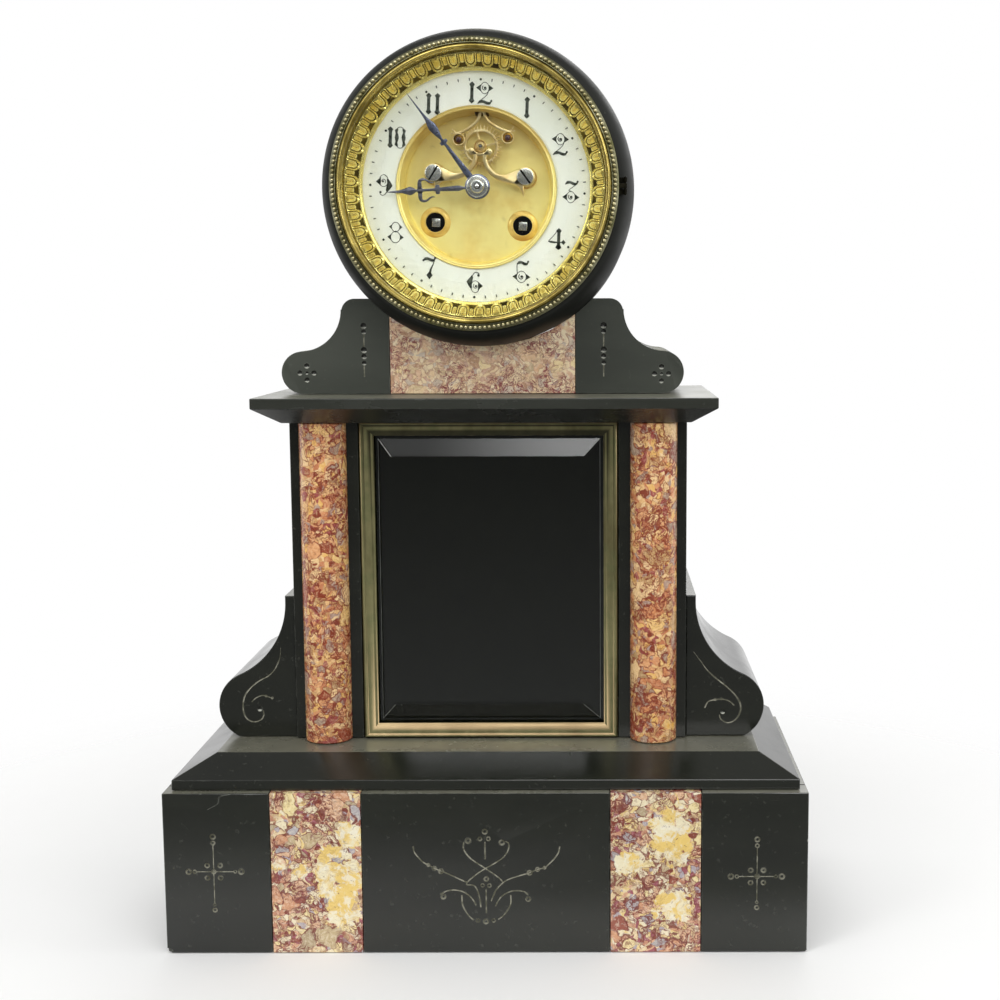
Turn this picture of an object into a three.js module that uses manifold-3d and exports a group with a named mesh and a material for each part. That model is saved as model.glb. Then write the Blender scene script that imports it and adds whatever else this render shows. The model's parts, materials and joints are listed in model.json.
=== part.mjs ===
// Black slate mantel clock with two marble columns and a visible escapement.
// Millimetres, +Z up, the dial faces -Y. The origin is the middle of the base's underside.
// A distance called front, back or depth is counted backwards from the base's front face.
import * as THREE from "three";
import { mergeVertices } from "three/addons/utils/BufferGeometryUtils.js";
import Module from "manifold-3d";

const wasm = await Module();
wasm.setup();

// Driving dimensions of the case
const base = { width: 300, depth: 135, height: 77, wall: 12 };
const baseMarble = { inner: 58, width: 42.1 };
const plinth = { height: 13.6, bandHeight: 5.1, inset: 3.7, front: 4, slopeWidth: 17.5 };
const body = { halfWidth: 95.2, height: 155.7, wall: 12 };
const pilaster = { width: 32.9, front: 44.6, thickness: 15.4 };
const column = { radius: 11.25, fromEdge: 15.95 };
const cornice = { height: 12.3, bandHeight: 4.9, halfWidth: 108.4, front: 19.8 };
const corniceUndercut = { side: 11.7, front: 13.05 };
const bracket = { front: 47.5, topRise: 3.1, noseInset: 16.2, noseHeight: 15.6, noseRadius: 17.1 };
const bracketHollow = { topReach: 4.9, height: 67.3 };

// Driving dimensions of the window
const frame = { face: 6.8, proud: 1, depth: 12.4, lip: 3.2, rebate: 2.2 };
const pane = { thickness: 4.4, edge: 2, bevel: 10, fit: 0.3 };
const board = { thickness: 3, fit: 0.3 };

// Driving dimensions of the drum and the saddle that carries it
const stage = { shift: -3 };
const drum = { rise: 96.2, radius: 72.8, bore: 60, front: 22, back: 129.8 };
const drumEdge = { frontRadius: 66, depth: 24 };
const saddle = { front: 54.7, toeReach: 97.1, toeRadius: 10.2, hollowRadius: 20, hollowReach: 88 };
const shoulder = { rise: 45.9, cornerRadius: 6.5, reach: 67.8 };
const saddleMarble = { halfWidth: 44.9, thickness: 12 };
const chute = { halfWidth: 27, front: 80, back: 106 };

// Driving dimensions of the dial, as depths and radii
const bezel = { back: 20.2, front: 10.2, radius: 65.2, lip: 59.4, seat: 60.8, seatFront: 14 };
const bezelProfileShares = [
  [1, 1], [1, 0.16], [0.93, 0.1], [0.6, 0.1], [0.5, 0.22], [0.4, 0.1], [0.22, 0], [0.06, 0.08], [0, 0.26],
];
const glass = { radius: 60.4, thickness: 3, bevel: 4, clearance: 0.3 };
const sight = { flangeRadius: 64.5, flangeFront: 20.7, flangeBack: 21.7, crest: 58.6, crestFront: 18.4 };
const sightInner = { radius: 52.2, footRadius: 53.6, footFront: 25.4, back: 29.3, tube: 59.4 };
const chapter = { outer: 53.6, inner: 36.6, front: 29.6, thickness: 2 };
const dish = { rim: 37, rimFront: 28.3, rimThickness: 1, mouth: 34.9, floorRadius: 34, floor: 40, sheet: 1 };
const dishFlange = { radius: 53, front: 31.9, thickness: 1.2, neck: 36.2 };
const windingHole = { radius: 4.5, collarRadius: 7, collarHeight: 0.8 };
const dialFoot = { radius: 2, circle: 30 };
const dialFootShares = [0.14, 0.36, 0.75];

// Driving dimensions of the movement. Its arbors lie in a frame of their own, turned with the dial
const movement = { shift: 0.9, turn: THREE.MathUtils.degToRad(2.4), plateRadius: 44.5 };
const frontPlate = { front: 49, thickness: 2.5 };
const backPlate = { front: 84, thickness: 2.5 };
const pillar = { radius: 2.4, circle: 40.5 };
const pillarShares = [0.02, 0.165, 0.335, 0.48, 0.75];
const winding = { side: 20.35, drop: 16, squareWidth: 4, squareFront: 42.4, squareLength: 7, arborRadius: 3 };
const ratchet = { teeth: 18, radius: 8, toothDepth: 1.4, front: 46.2, thickness: 1.4 };
const barrel = { radius: 18.3, back: 81.5, bore: 3.3 };
const escape = { height: 19, tipRadius: 10.2, hub: 2.6, front: 36, thickness: 1.1 };
const palletArbor = { height: 37, radius: 1.1, front: 34.3 };
const regulator = { height: 56.2, radius: 1.2, front: 24.5, back: 98, squareWidth: 2, squareLength: 9 };

// Driving dimensions of the toothed wheels. The module is the pitch diameter shared among the teeth
const greatWheel = { teeth: 72, module: 0.55, front: 59.6, thickness: 2 };
const secondPinion = { teeth: 9, module: 0.55, front: 58.8, thickness: 3.4 };
const secondWheel = { teeth: 60, module: 0.46, front: 55.9, thickness: 1.2 };
const centrePinion = { teeth: 12, module: 0.46, front: 55.4, thickness: 2.2 };
const centreWheel = { teeth: 80, module: 0.36, front: 53.2, thickness: 1.2 };
const thirdPinion = { teeth: 8, module: 0.36, front: 52.6, thickness: 2.4 };
const thirdWheel = { teeth: 80, module: 0.3, front: 57.7, thickness: 1 };
const escapePinion = { teeth: 8, module: 0.3, front: 57.2, thickness: 2 };
const cannonPinion = { teeth: 12, module: 0.5, front: 46, thickness: 2.2 };
const minuteWheel = { teeth: 36, module: 0.5, front: 46.4, thickness: 1.2 };
const minutePinion = { teeth: 10, module: 0.48, front: 42.6, thickness: 3 };
const hourWheel = { teeth: 40, module: 0.48, front: 43.2, thickness: 1.4 };
const tooth = { addendumShare: 0.72, dedendumShare: 1.4 };
const escapeTooth = { count: 36, depth: 2.3, backShare: 0.26, frontShare: 0.16 };
const train = { arborRadius: 1.1, pivotRadius: 0.8 };
const crossing = { spokes: 4, rimShare: 0.84, hubShare: 0.22, widthShare: 0.1 };

// Driving dimensions of the hands and their fixing
const minuteHand = { length: 52.5, front: 23.6, thickness: 0.8, angle: THREE.MathUtils.degToRad(322.8) };
const hourHand = { length: 41.5, front: 26.2, thickness: 0.9, angle: THREE.MathUtils.degToRad(266.9) };
const minuteBladeShares = [
  [0.03, 0.1], [0.024, 0.3], [0.019, 0.42], [0.055, 0.445], [0.06, 0.462], [0.05, 0.478], [0.018, 0.485],
  [0.016, 0.53], [0.045, 0.555], [0.058, 0.6], [0.04, 0.645], [0.012, 0.68], [0.009, 0.8], [0.003, 1],
];
const hourBladeShares = [
  [0.045, 0.12], [0.034, 0.3], [0.026, 0.42], [0.07, 0.44], [0.075, 0.465], [0.065, 0.485], [0.026, 0.5],
  [0.026, 0.57], [0.06, 0.58], [0.1, 0.6], [0.115, 0.64], [0.1, 0.675], [0.06, 0.685], [0.05, 0.7],
  [0.082, 0.74], [0.085, 0.79], [0.06, 0.85], [0.026, 0.9], [0.01, 1],
];
const handBoss = { radius: 5.7, depth: 1.6, hourRadius: 5.2 };
const handNut = { washerRadius: 5, radius: 3.2, washerThickness: 0.8, thickness: 1.9 };
const pipe = { hourRadius: 3.4, hourBore: 2.7, cannonRadius: 2.4, cannonBore: 1.3 };
const centreArbor = { radius: 1 };

// Driving dimensions of the visible escapement
const jewel = { side: 11.3, drop: 14.4, radius: 1.9, ringRadius: 2.8, front: 33.1, gap: 0.3 };
const anchor = { thickness: 1.2, tilt: THREE.MathUtils.degToRad(4.5), armWidth: 1.9, hubRadius: 2.4 };
const anchorArmShares = [[0.02, 0.02], [0.08, 0.36], [0.36, 0.56], [0.74, 0.66], [0.92, 0.84]];
const cock = { front: 33, thickness: 1.5, hubRadius: 3, hubBore: 0.9 };
const cockFoot = { side: 21.2, height: 6, radius: 4.1 };
const cockScrew = { radius: 3.8, headHeight: 1.6, shank: 1.3, slotWidth: 0.9, slotDepth: 0.7, length: 18 };
const cockArmShares = {
  inner: [[0.2, -0.1], [0.2, -0.28], [0.2, -0.44], [0.3, -0.62], [0.46, -0.74], [0.62, -0.86], [0.78, -0.98]],
  outer: [[0.94, -0.62], [0.72, -0.62], [0.52, -0.58], [0.38, -0.46], [0.34, -0.3], [0.31, -0.1]],
  bar: 0.3,
};
const cockTail = { side: 0.6, drop: 8.4, width: 2.4 };
const cockScrewTurns = [THREE.MathUtils.degToRad(59), THREE.MathUtils.degToRad(-52)];

// Driving dimensions of the pendulum, its suspension and its crutch
const pendulum = { depth: 93, bobRise: 51.2, rodRadius: 1.6, bobRadius: 22, bobThickness: 14 };
const ratingNut = { radius: 4, height: 5 };
const bobProfileShares = [[0, -1], [0.5, -0.7], [1, 0], [0.5, 0.7], [0, 1]];
const suspension = { width: 3, thickness: 0.8, length: 9, blockHeight: 4 };
const suspensionCock = { width: 14, height: 7, thickness: 2.4, reach: 5 };
const crutch = { front: 88.6, thickness: 1.4, width: 2.4, length: 30, fork: 9, prong: 1.2, grip: 0.4 };

// Driving dimensions of the bell and its hammer
const bell = { radius: 33, height: 18, wall: 1.8, rim: 104, side: 0, drop: 6, hole: 2 };
const bellCurveShares = [[1, 0], [0.985, 0.3], [0.92, 0.62], [0.76, 0.86], [0.5, 0.97], [0.2, 1]];
const bellStand = { side: 15, drop: 40, radius: 2 };
const hammer = { side: 37.5, height: 16, arborRadius: 1.2, armFront: 99, armThickness: 1.8, armWidth: 2.6 };
const hammerHead = { radius: 3.8, length: 12, drop: 12 };

// Driving dimensions of the rear bezel, its door and the hinges
const rear = { radius: 64, bore: 52, thickness: 1.4 };
const strap = { width: 5, thickness: 1.6, inset: 2 };
const door = { radius: 55, thickness: 1.2, gap: 0.4, knobRadius: 3, knobHeight: 1.6, knobShare: 0.82 };
const hinge = { radius: 1.3, pin: 0.7, bore: 1, knuckle: 5, gap: 0.3, tab: 1 };
const bezelHinge = { reach: 68.2, depth: 19.6 };
const doorHinge = { reach: 58.4, depth: 133.1 };

// Shared small sizes: the joint between set stones, what a cut runs past a face, a running gap
const seam = 0.3;
const overrun = 2;
const running = 0.3;

// Facets on round pieces
const facets = { large: 40, ring: 36, column: 12, small: 12, tiny: 8, corner: 5 };

const quarter = Math.PI / 2;
const fromFront = (depth) => depth - base.depth / 2;

// Solids
function cleanGeometry(geometry) {
  const bare = geometry.index ? geometry.toNonIndexed() : geometry.clone();
  bare.deleteAttribute("normal");
  bare.deleteAttribute("uv");
  return mergeVertices(bare);
}

function manifoldOf(positions, triangles) {
  const mesh = { numProp: 3, vertProperties: positions, triVerts: triangles };
  return new wasm.Manifold(new wasm.Mesh(mesh));
}

// A closed geometry as a solid. A profile drawn the other way round is turned to face out.
function solidOf(geometry) {
  const merged = cleanGeometry(geometry);
  const positions = merged.attributes.position.array;
  const index = merged.index.array;
  const triangles = [];
  for (let i = 0; i < index.length; i += 3) {
    const [a, b, c] = [index[i], index[i + 1], index[i + 2]];
    if (a !== b && b !== c && c !== a) triangles.push(a, b, c);
  }
  const solid = manifoldOf(positions, new Uint32Array(triangles));
  if (solid.volume() > 0) return solid;
  return manifoldOf(positions, new Uint32Array(triangles.reverse()));
}

function geometryOf(solid) {
  const mesh = solid.getMesh();
  const geometry = new THREE.BufferGeometry();
  geometry.setAttribute("position", new THREE.BufferAttribute(mesh.vertProperties, mesh.numProp));
  geometry.setIndex(new THREE.BufferAttribute(mesh.triVerts, 1));
  geometry.computeVertexNormals();
  return geometry;
}

const joined = (...solids) => solids.reduce((sum, solid) => sum.add(solid));
const cut = (solid, ...tools) => tools.reduce((rest, tool) => rest.subtract(tool), solid);

// A block between two sides, two depths and two heights
function block(left, right, front, back, bottom, top) {
  const geometry = new THREE.BoxGeometry(right - left, back - front, top - bottom);
  geometry.translate((left + right) / 2, fromFront((front + back) / 2), (bottom + top) / 2);
  return solidOf(geometry);
}

// Points in the plane of the dial, [across, up]
const shapeOf = (points) => new THREE.Shape(points.map(([x, z]) => new THREE.Vector2(x, z)));
const pathOf = (points) => new THREE.Path(points.map(([x, z]) => new THREE.Vector2(x, z)));
const polar = ([x, z], radius, angle) => [x + radius * Math.cos(angle), z + radius * Math.sin(angle)];

function arcPoints(centre, radius, from, to, steps) {
  const points = [];
  for (let i = 0; i <= steps; i += 1) points.push(polar(centre, radius, from + ((to - from) * i) / steps));
  return points;
}

const circlePoints = (centre, radius, count) =>
  arcPoints(centre, radius, 0, 2 * Math.PI * (1 - 1 / count), count - 1);

// An outline in the plane of the dial, run from one depth to another
function prism(outline, front, back, holes = []) {
  const shape = shapeOf(outline);
  shape.holes = holes.map(pathOf);
  const geometry = new THREE.ExtrudeGeometry(shape, { depth: back - front, bevelEnabled: false });
  geometry.rotateX(quarter);
  geometry.translate(0, fromFront(back), 0);
  return solidOf(geometry);
}

const disc = (centre, radius, front, back, count = facets.small) =>
  prism(circlePoints(centre, radius, count), front, back);

// A profile of [radius, depth] points turned about an axis that runs front to back
function turned(profile, centre = [0, 0], segments = facets.large) {
  const points = profile.map(([radius, depth]) => new THREE.Vector2(radius, fromFront(depth)));
  const onAxis = profile[0][0] === 0 && profile[profile.length - 1][0] === 0;
  if (!onAxis) points.push(points[0].clone());
  const geometry = new THREE.LatheGeometry(points, segments);
  geometry.translate(centre[0], 0, centre[1]);
  return solidOf(geometry);
}

// A flat ring between two radii and two depths
const washer = (centre, inner, outer, front, back, segments) =>
  turned([[inner, front], [outer, front], [outer, back], [inner, back]], centre, segments);

// Rectangles of four corners each, one after the other, closed at both ends
function lofted(rings) {
  const count = rings[0].length;
  const triangles = [];
  const quad = (a, b, c, d) => triangles.push(a, b, c, a, c, d);
  for (let r = 0; r + 1 < rings.length; r += 1) {
    for (let i = 0; i < count; i += 1) {
      const next = (i + 1) % count;
      quad(r * count + i, r * count + next, (r + 1) * count + next, (r + 1) * count + i);
    }
  }
  const last = (rings.length - 1) * count;
  for (let i = 1; i + 1 < count; i += 1) {
    triangles.push(0, i + 1, i, last, last + i, last + i + 1);
  }
  const geometry = new THREE.BufferGeometry();
  geometry.setAttribute("position", new THREE.Float32BufferAttribute(rings.flat(2), 3));
  geometry.setIndex(triangles);
  return solidOf(geometry);
}

const levelRing = (halfWidth, front, back, height) => [
  [-halfWidth, fromFront(front), height],
  [halfWidth, fromFront(front), height],
  [halfWidth, fromFront(back), height],
  [-halfWidth, fromFront(back), height],
];

const uprightRing = (halfWidth, bottom, top, depth) => [
  [-halfWidth, fromFront(depth), bottom],
  [halfWidth, fromFront(depth), bottom],
  [halfWidth, fromFront(depth), top],
  [-halfWidth, fromFront(depth), top],
];

// A smooth curve through points, for outlines with swept edges
function sweep(points, steps) {
  const curve = new THREE.CatmullRomCurve3(points.map(([x, z]) => new THREE.Vector3(x, z, 0)));
  return curve.getPoints(steps).map((p) => [p.x, p.y]);
}

const mirrored = (points) => points.map(([x, z]) => [-x, z]).reverse();
const shifted = (points, [x, z]) => points.map(([u, w]) => [u + x, w + z]);
const turnedBy = (points, angle) =>
  points.map(([x, z]) => [
    x * Math.cos(angle) - z * Math.sin(angle),
    x * Math.sin(angle) + z * Math.cos(angle),
  ]);

// Materials
const surface = (color, roughness, metalness = 0) =>
  new THREE.MeshStandardMaterial({ color, roughness, metalness });
const finishes = {
  slate: () => surface(0x17191a, 0.45),
  marble: () => surface(0xa06a52, 0.35),
  gilt: () => surface(0xc99a3b, 0.3, 1),
  brass: () => surface(0xb8943f, 0.4, 1),
  oldBrass: () => surface(0x6b6038, 0.5, 1),
  enamel: () => surface(0xe9ece4, 0.15),
  steel: () => surface(0xb9bcc0, 0.3, 1),
  bluedSteel: () => surface(0x2d3550, 0.3, 1),
  jewel: () => surface(0x5a0d14, 0.1),
  bellMetal: () => surface(0xb39a63, 0.35, 1),
  blackBoard: () => surface(0x060606, 0.8),
  glass: () => Object.assign(surface(0xffffff, 0.03), { opacity: 0.2, transparent: true }),
};

// Heights that follow from the stack of stones
const plinthTop = base.height + plinth.height;
const bodyTop = plinthTop + body.height;
const corniceTop = bodyTop + cornice.height;
const shoulderTop = corniceTop + shoulder.rise;
const drumHeight = corniceTop + drum.rise;
const halfBase = base.width / 2;

const clock = new THREE.Group();
const upperStage = new THREE.Group();
upperStage.position.x = stage.shift;
clock.add(upperStage);
const works = new THREE.Group();
works.position.set(stage.shift + movement.shift, 0, drumHeight);
works.rotation.y = movement.turn;
clock.add(works);
const hanging = new THREE.Group();
hanging.position.set(
  works.position.x + palletArbor.height * Math.sin(movement.turn), 0,
  works.position.z + palletArbor.height * Math.cos(movement.turn),
);
clock.add(hanging);

function addPiece(group, name, finish, solid) {
  const mesh = new THREE.Mesh(geometryOf(solid), finishes[finish]());
  mesh.name = name;
  group.add(mesh);
}

// Base: slabs of slate with two marble panels in the front
function buildBase() {
  const marbleOuter = baseMarble.inner + baseMarble.width;
  const frontSlab = (left, right) => block(left, right, 0, base.wall, 0, base.height);
  addPiece(clock, "base_front_center", "slate", frontSlab(-baseMarble.inner + seam, baseMarble.inner - seam));
  for (const [side, sign] of [["left", -1], ["right", 1]]) {
    const strip = [sign * baseMarble.inner, sign * marbleOuter].sort((a, b) => a - b);
    const outer = [sign * (marbleOuter + seam), sign * halfBase].sort((a, b) => a - b);
    const flank = [sign * (halfBase - base.wall), sign * halfBase].sort((a, b) => a - b);
    addPiece(clock, "base_marble_" + side, "marble", frontSlab(...strip));
    addPiece(clock, "base_front_" + side, "slate", frontSlab(...outer));
    const sideSlab = block(...flank, base.wall + seam, base.depth, 0, base.height);
    addPiece(clock, "base_side_" + side, "slate", sideSlab);
  }
  const inside = halfBase - base.wall - seam;
  const backSlab = block(-inside, inside, base.depth - base.wall, base.depth, 0, base.height);
  addPiece(clock, "base_back", "slate", backSlab);
}

// Plinth: one slab whose front and sides slope in towards the body
function buildPlinth() {
  const bottom = base.height + seam;
  const half = halfBase - plinth.inset;
  const rings = [
    levelRing(half, plinth.front, base.depth, bottom),
    levelRing(half, plinth.front, base.depth, base.height + plinth.bandHeight),
    levelRing(half - plinth.slopeWidth, plinth.front + plinth.slopeWidth, base.depth, plinthTop),
  ];
  addPiece(clock, "plinth", "slate", lofted(rings));
}

// Body: pilasters, marble half columns, side slabs and a back
function buildBody() {
  const bottom = plinthTop + seam;
  const top = bodyTop - seam;
  const pilasterBack = pilaster.front + pilaster.thickness;
  for (const [side, sign] of [["left", -1], ["right", 1]]) {
    const face = [sign * (body.halfWidth - pilaster.width), sign * body.halfWidth].sort((a, b) => a - b);
    addPiece(clock, "pilaster_" + side, "slate", block(...face, pilaster.front, pilasterBack, bottom, top));
    const columnAt = sign * (body.halfWidth - column.fromEdge);
    addPiece(clock, "column_" + side, "marble", halfColumn(columnAt, bottom, top));
    const flank = [sign * (body.halfWidth - body.wall), sign * body.halfWidth].sort((a, b) => a - b);
    const slab = block(...flank, pilasterBack + seam, base.depth - body.wall - seam, bottom, top);
    addPiece(clock, "body_side_" + side, "slate", slab);
    addPiece(clock, "bracket_" + side, "slate", sideBracket(sign));
  }
  const back = block(-body.halfWidth, body.halfWidth, base.depth - body.wall, base.depth, bottom, top);
  addPiece(clock, "body_back", "slate", back);
}

function halfColumn(x, bottom, top) {
  const flat = pilaster.front - seam;
  const outline = arcPoints([x, -flat], column.radius, 0, Math.PI, facets.column);
  const geometry = new THREE.ExtrudeGeometry(shapeOf(outline), { depth: top - bottom, bevelEnabled: false });
  geometry.scale(1, -1, 1);
  geometry.translate(0, fromFront(0), bottom);
  return solidOf(geometry);
}

// The radius of a circle at this height that touches both an upright line at this side and a given circle
function touchingRadius(centre, radius, side, height) {
  const across = side - centre[0];
  const up = height - centre[1];
  return (across ** 2 + up ** 2 - radius ** 2) / (2 * (radius - across));
}

// Bracket: a hollow curve that runs down into a round nose, standing on the plinth beside the body
function sideBracket(sign) {
  const foot = plinthTop + seam;
  const inner = body.halfWidth + seam;
  const nose = [halfBase - bracket.noseInset - bracket.noseRadius, plinthTop + bracket.noseHeight];
  const hollowSide = body.halfWidth + bracketHollow.topReach;
  const hollowHeight = plinthTop + bracketHollow.height;
  const hollowRadius = touchingRadius(nose, bracket.noseRadius, hollowSide, hollowHeight);
  const hollow = [hollowSide + hollowRadius, hollowHeight];
  const lean = Math.atan2(hollow[1] - nose[1], hollow[0] - nose[0]);
  const top = hollow[1] + bracket.topRise;
  const footAngle = Math.asin((foot - nose[1]) / bracket.noseRadius);
  const outline = [
    [inner, foot],
    ...arcPoints(nose, bracket.noseRadius, footAngle, lean, 2 * facets.corner),
    ...arcPoints(hollow, hollowRadius, lean + Math.PI, Math.PI, 2 * facets.corner).slice(1),
    [hollowSide, top],
    [inner, top],
  ];
  const drawn = sign > 0 ? outline : mirrored(outline);
  return prism(drawn, bracket.front, base.depth);
}

// Window: a brass frame, a bevelled pane and a black board behind it
function buildWindow() {
  const half = body.halfWidth - pilaster.width - seam;
  const bottom = plinthTop + seam;
  const top = bodyTop - seam;
  const front = pilaster.front - frame.proud;
  const rect = (inset) => [
    [-half + inset, bottom + inset],
    [half - inset, bottom + inset],
    [half - inset, top - inset],
    [-half + inset, top - inset],
  ];
  const rebateInset = frame.face - frame.rebate;
  const lip = prism(rect(0), front, front + frame.lip, [rect(frame.face)]);
  const rebate = prism(rect(0), front, front + frame.depth, [rect(rebateInset)]);
  addPiece(clock, "window_frame", "oldBrass", joined(lip, rebate));

  const edge = rebateInset + pane.fit;
  const paneFront = front + frame.lip + pane.fit;
  const ring = (inset, depth) => uprightRing(half - inset, bottom + inset, top - inset, depth);
  const paneBack = paneFront + pane.thickness;
  const bevelled = lofted([
    ring(edge + pane.bevel, paneFront),
    ring(edge, paneBack - pane.edge),
    ring(edge, paneBack),
  ]);
  addPiece(clock, "window_glass", "glass", bevelled);
  const boardFront = paneBack + board.fit;
  const backing = prism(rect(edge), boardFront, boardFront + board.thickness);
  addPiece(clock, "window_board", "blackBoard", backing);
}

// The way down through the stones for the pendulum
const chuteCut = (bottom, top, shift) =>
  block(shift - chute.halfWidth, shift + chute.halfWidth, chute.front, chute.back, bottom, top);

function buildCornice() {
  const bottom = bodyTop;
  const lowHalf = cornice.halfWidth - corniceUndercut.side;
  const rings = [
    levelRing(lowHalf, cornice.front + corniceUndercut.front, base.depth, bottom),
    levelRing(cornice.halfWidth, cornice.front, base.depth, corniceTop - cornice.bandHeight),
    levelRing(cornice.halfWidth, cornice.front, base.depth, corniceTop),
  ];
  const slab = cut(lofted(rings), chuteCut(bottom - overrun, corniceTop + overrun, stage.shift));
  addPiece(clock, "cornice", "slate", slab);
}

// Saddle: two swept shoulders in one block, with a marble panel let into its front
function shoulderOutline() {
  const foot = corniceTop + seam;
  const toe = [saddle.toeReach - saddle.toeRadius, foot + saddle.toeRadius];
  const hollow = [saddle.hollowReach, toe[1] + saddle.toeRadius + saddle.hollowRadius];
  const corner = [shoulder.reach - shoulder.cornerRadius, shoulderTop - shoulder.cornerRadius];
  const right = [
    ...arcPoints(toe, saddle.toeRadius, -quarter, quarter, 2 * facets.corner),
    ...arcPoints(hollow, saddle.hollowRadius, -quarter, -2 * quarter, facets.corner),
    ...arcPoints(corner, shoulder.cornerRadius, 0, quarter, facets.corner),
  ];
  return [...right, ...mirrored(right)];
}

const drumClearance = () =>
  disc([0, drumHeight], drum.radius + seam, -overrun, base.depth + overrun, facets.large);

function buildSaddle() {
  const foot = corniceTop + seam;
  const top = drumHeight;
  const whole = prism(shoulderOutline(), saddle.front, base.depth);
  const half = saddleMarble.halfWidth;
  const recessBack = saddle.front + saddleMarble.thickness + seam;
  const recess = block(-half, half, saddle.front - overrun, recessBack, foot - overrun, top);
  const way = chuteCut(foot - overrun, top, 0);
  addPiece(upperStage, "saddle", "slate", cut(whole, recess, way, drumClearance()));
  const panelHalf = half - seam;
  const slab = block(-panelHalf, panelHalf, saddle.front, saddle.front + saddleMarble.thickness, foot, top);
  addPiece(upperStage, "saddle_panel", "marble", cut(slab, drumClearance()));
}

// Drum: a bored slate ring with a rounded front edge
function buildDrum() {
  const roundWidth = drum.radius - drumEdge.frontRadius;
  const round = [];
  for (let i = 0; i <= facets.corner; i += 1) {
    const angle = (quarter * i) / facets.corner;
    const radius = drumEdge.frontRadius + roundWidth * Math.sin(angle);
    round.push([radius, drum.front + drumEdge.depth * (1 - Math.cos(angle))]);
  }
  const ring = turned([[drum.bore, drum.front], ...round, [drum.radius, drum.back], [drum.bore, drum.back]],
    [0, drumHeight]);
  const way = chuteCut(drumHeight - drum.radius - overrun, drumHeight - drum.bore / 2, 0);
  addPiece(upperStage, "drum", "slate", cut(ring, way));
}

// A hinge on an upright pin: the fixed half has two knuckles and the pin, the moving half one knuckle
function uprightRound(x, depth, radius, bottom, top) {
  const geometry = new THREE.CylinderGeometry(radius, radius, top - bottom, facets.tiny);
  geometry.rotateX(quarter);
  geometry.translate(x, fromFront(depth), (bottom + top) / 2);
  return solidOf(geometry);
}

function fixedKnuckles(place, plateReach, plateFront, plateBack) {
  const middle = hinge.knuckle / 2 + hinge.gap;
  const end = middle + hinge.knuckle;
  const parts = [uprightRound(place.reach, place.depth, hinge.pin, drumHeight - end, drumHeight + end)];
  for (const [low, high] of [[-end, -middle], [middle, end]]) {
    parts.push(uprightRound(place.reach, place.depth, hinge.radius, drumHeight + low, drumHeight + high));
    parts.push(block(plateReach, place.reach, plateFront, plateBack, drumHeight + low, drumHeight + high));
  }
  return joined(...parts);
}

function movingKnuckle(place, plateReach, plateFront, plateBack) {
  const half = hinge.knuckle / 2;
  const [low, high] = [drumHeight - half, drumHeight + half];
  const tube = joined(
    uprightRound(place.reach, place.depth, hinge.radius, low, high),
    block(plateReach, place.reach, plateFront, plateBack, low, high),
  );
  return cut(tube, uprightRound(place.reach, place.depth, hinge.bore, low - overrun, high + overrun));
}

// Front bezel: the hinged ring with its bead seat and roll, and the bevelled glass in it
function buildBezel() {
  const centre = [0, drumHeight];
  const width = bezel.radius - bezel.lip;
  const depth = bezel.back - bezel.front;
  const outside = bezelProfileShares.map(([across, back]) => [
    bezel.lip + width * across,
    bezel.front + depth * back,
  ]);
  const seat = [[bezel.lip, bezel.seatFront], [bezel.seat, bezel.seatFront], [bezel.seat, bezel.back]];
  const ring = turned([...outside, ...seat], centre);
  const leafReach = bezel.radius - hinge.radius;
  const knuckle = movingKnuckle(bezelHinge, leafReach, bezelHinge.depth - hinge.tab, bezel.back);
  addPiece(upperStage, "front_bezel", "gilt", joined(ring, knuckle));
  const glassFront = bezel.seatFront + glass.clearance;
  const glassBack = glassFront + glass.thickness;
  const lens = turned([
    [0, glassFront], [glass.radius - glass.bevel, glassFront], [glass.radius, (glassFront + glassBack) / 2],
    [glass.radius, glassBack], [0, glassBack],
  ], centre, facets.ring);
  addPiece(upperStage, "front_glass", "glass", lens);
}

// Sight ring: fixed to the drum's front, sloping in to the enamel
function buildSightRing() {
  const centre = [0, drumHeight];
  const ring = turned([
    [sight.flangeRadius, sight.flangeBack], [sight.flangeRadius, sight.flangeFront],
    [sightInner.tube, sight.flangeFront], [sight.crest, sight.crestFront],
    [sightInner.footRadius, sightInner.footFront], [sightInner.radius, sightInner.footFront],
    [sightInner.radius, sightInner.back], [sightInner.tube, sightInner.back],
    [sightInner.tube, sight.flangeBack],
  ], centre);
  const leafReach = sight.flangeRadius - hinge.radius;
  const knuckles = fixedKnuckles(bezelHinge, leafReach, sight.flangeFront, sight.flangeBack);
  const regulatorAt = [movement.shift + regulator.height * Math.sin(movement.turn),
    drumHeight + regulator.height * Math.cos(movement.turn)];
  const squareReach = regulator.squareWidth * Math.SQRT1_2 + running;
  const bore = disc(regulatorAt, squareReach, sight.crestFront - overrun, sightInner.back + overrun);
  addPiece(upperStage, "sight_ring", "gilt", cut(joined(ring, knuckles), bore));
}

// Dial: the enamel chapter ring, and the gilt dish that is sunk behind it
const windingPlaces = [[-winding.side, -winding.drop], [winding.side, -winding.drop]];

function buildDial() {
  const back = chapter.front + chapter.thickness;
  const ring = washer([0, drumHeight], chapter.inner, chapter.outer, chapter.front, back, facets.ring);
  addPiece(upperStage, "chapter_ring", "enamel", ring);
  addPiece(works, "dial_dish", "gilt", dialDish());
}

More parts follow.
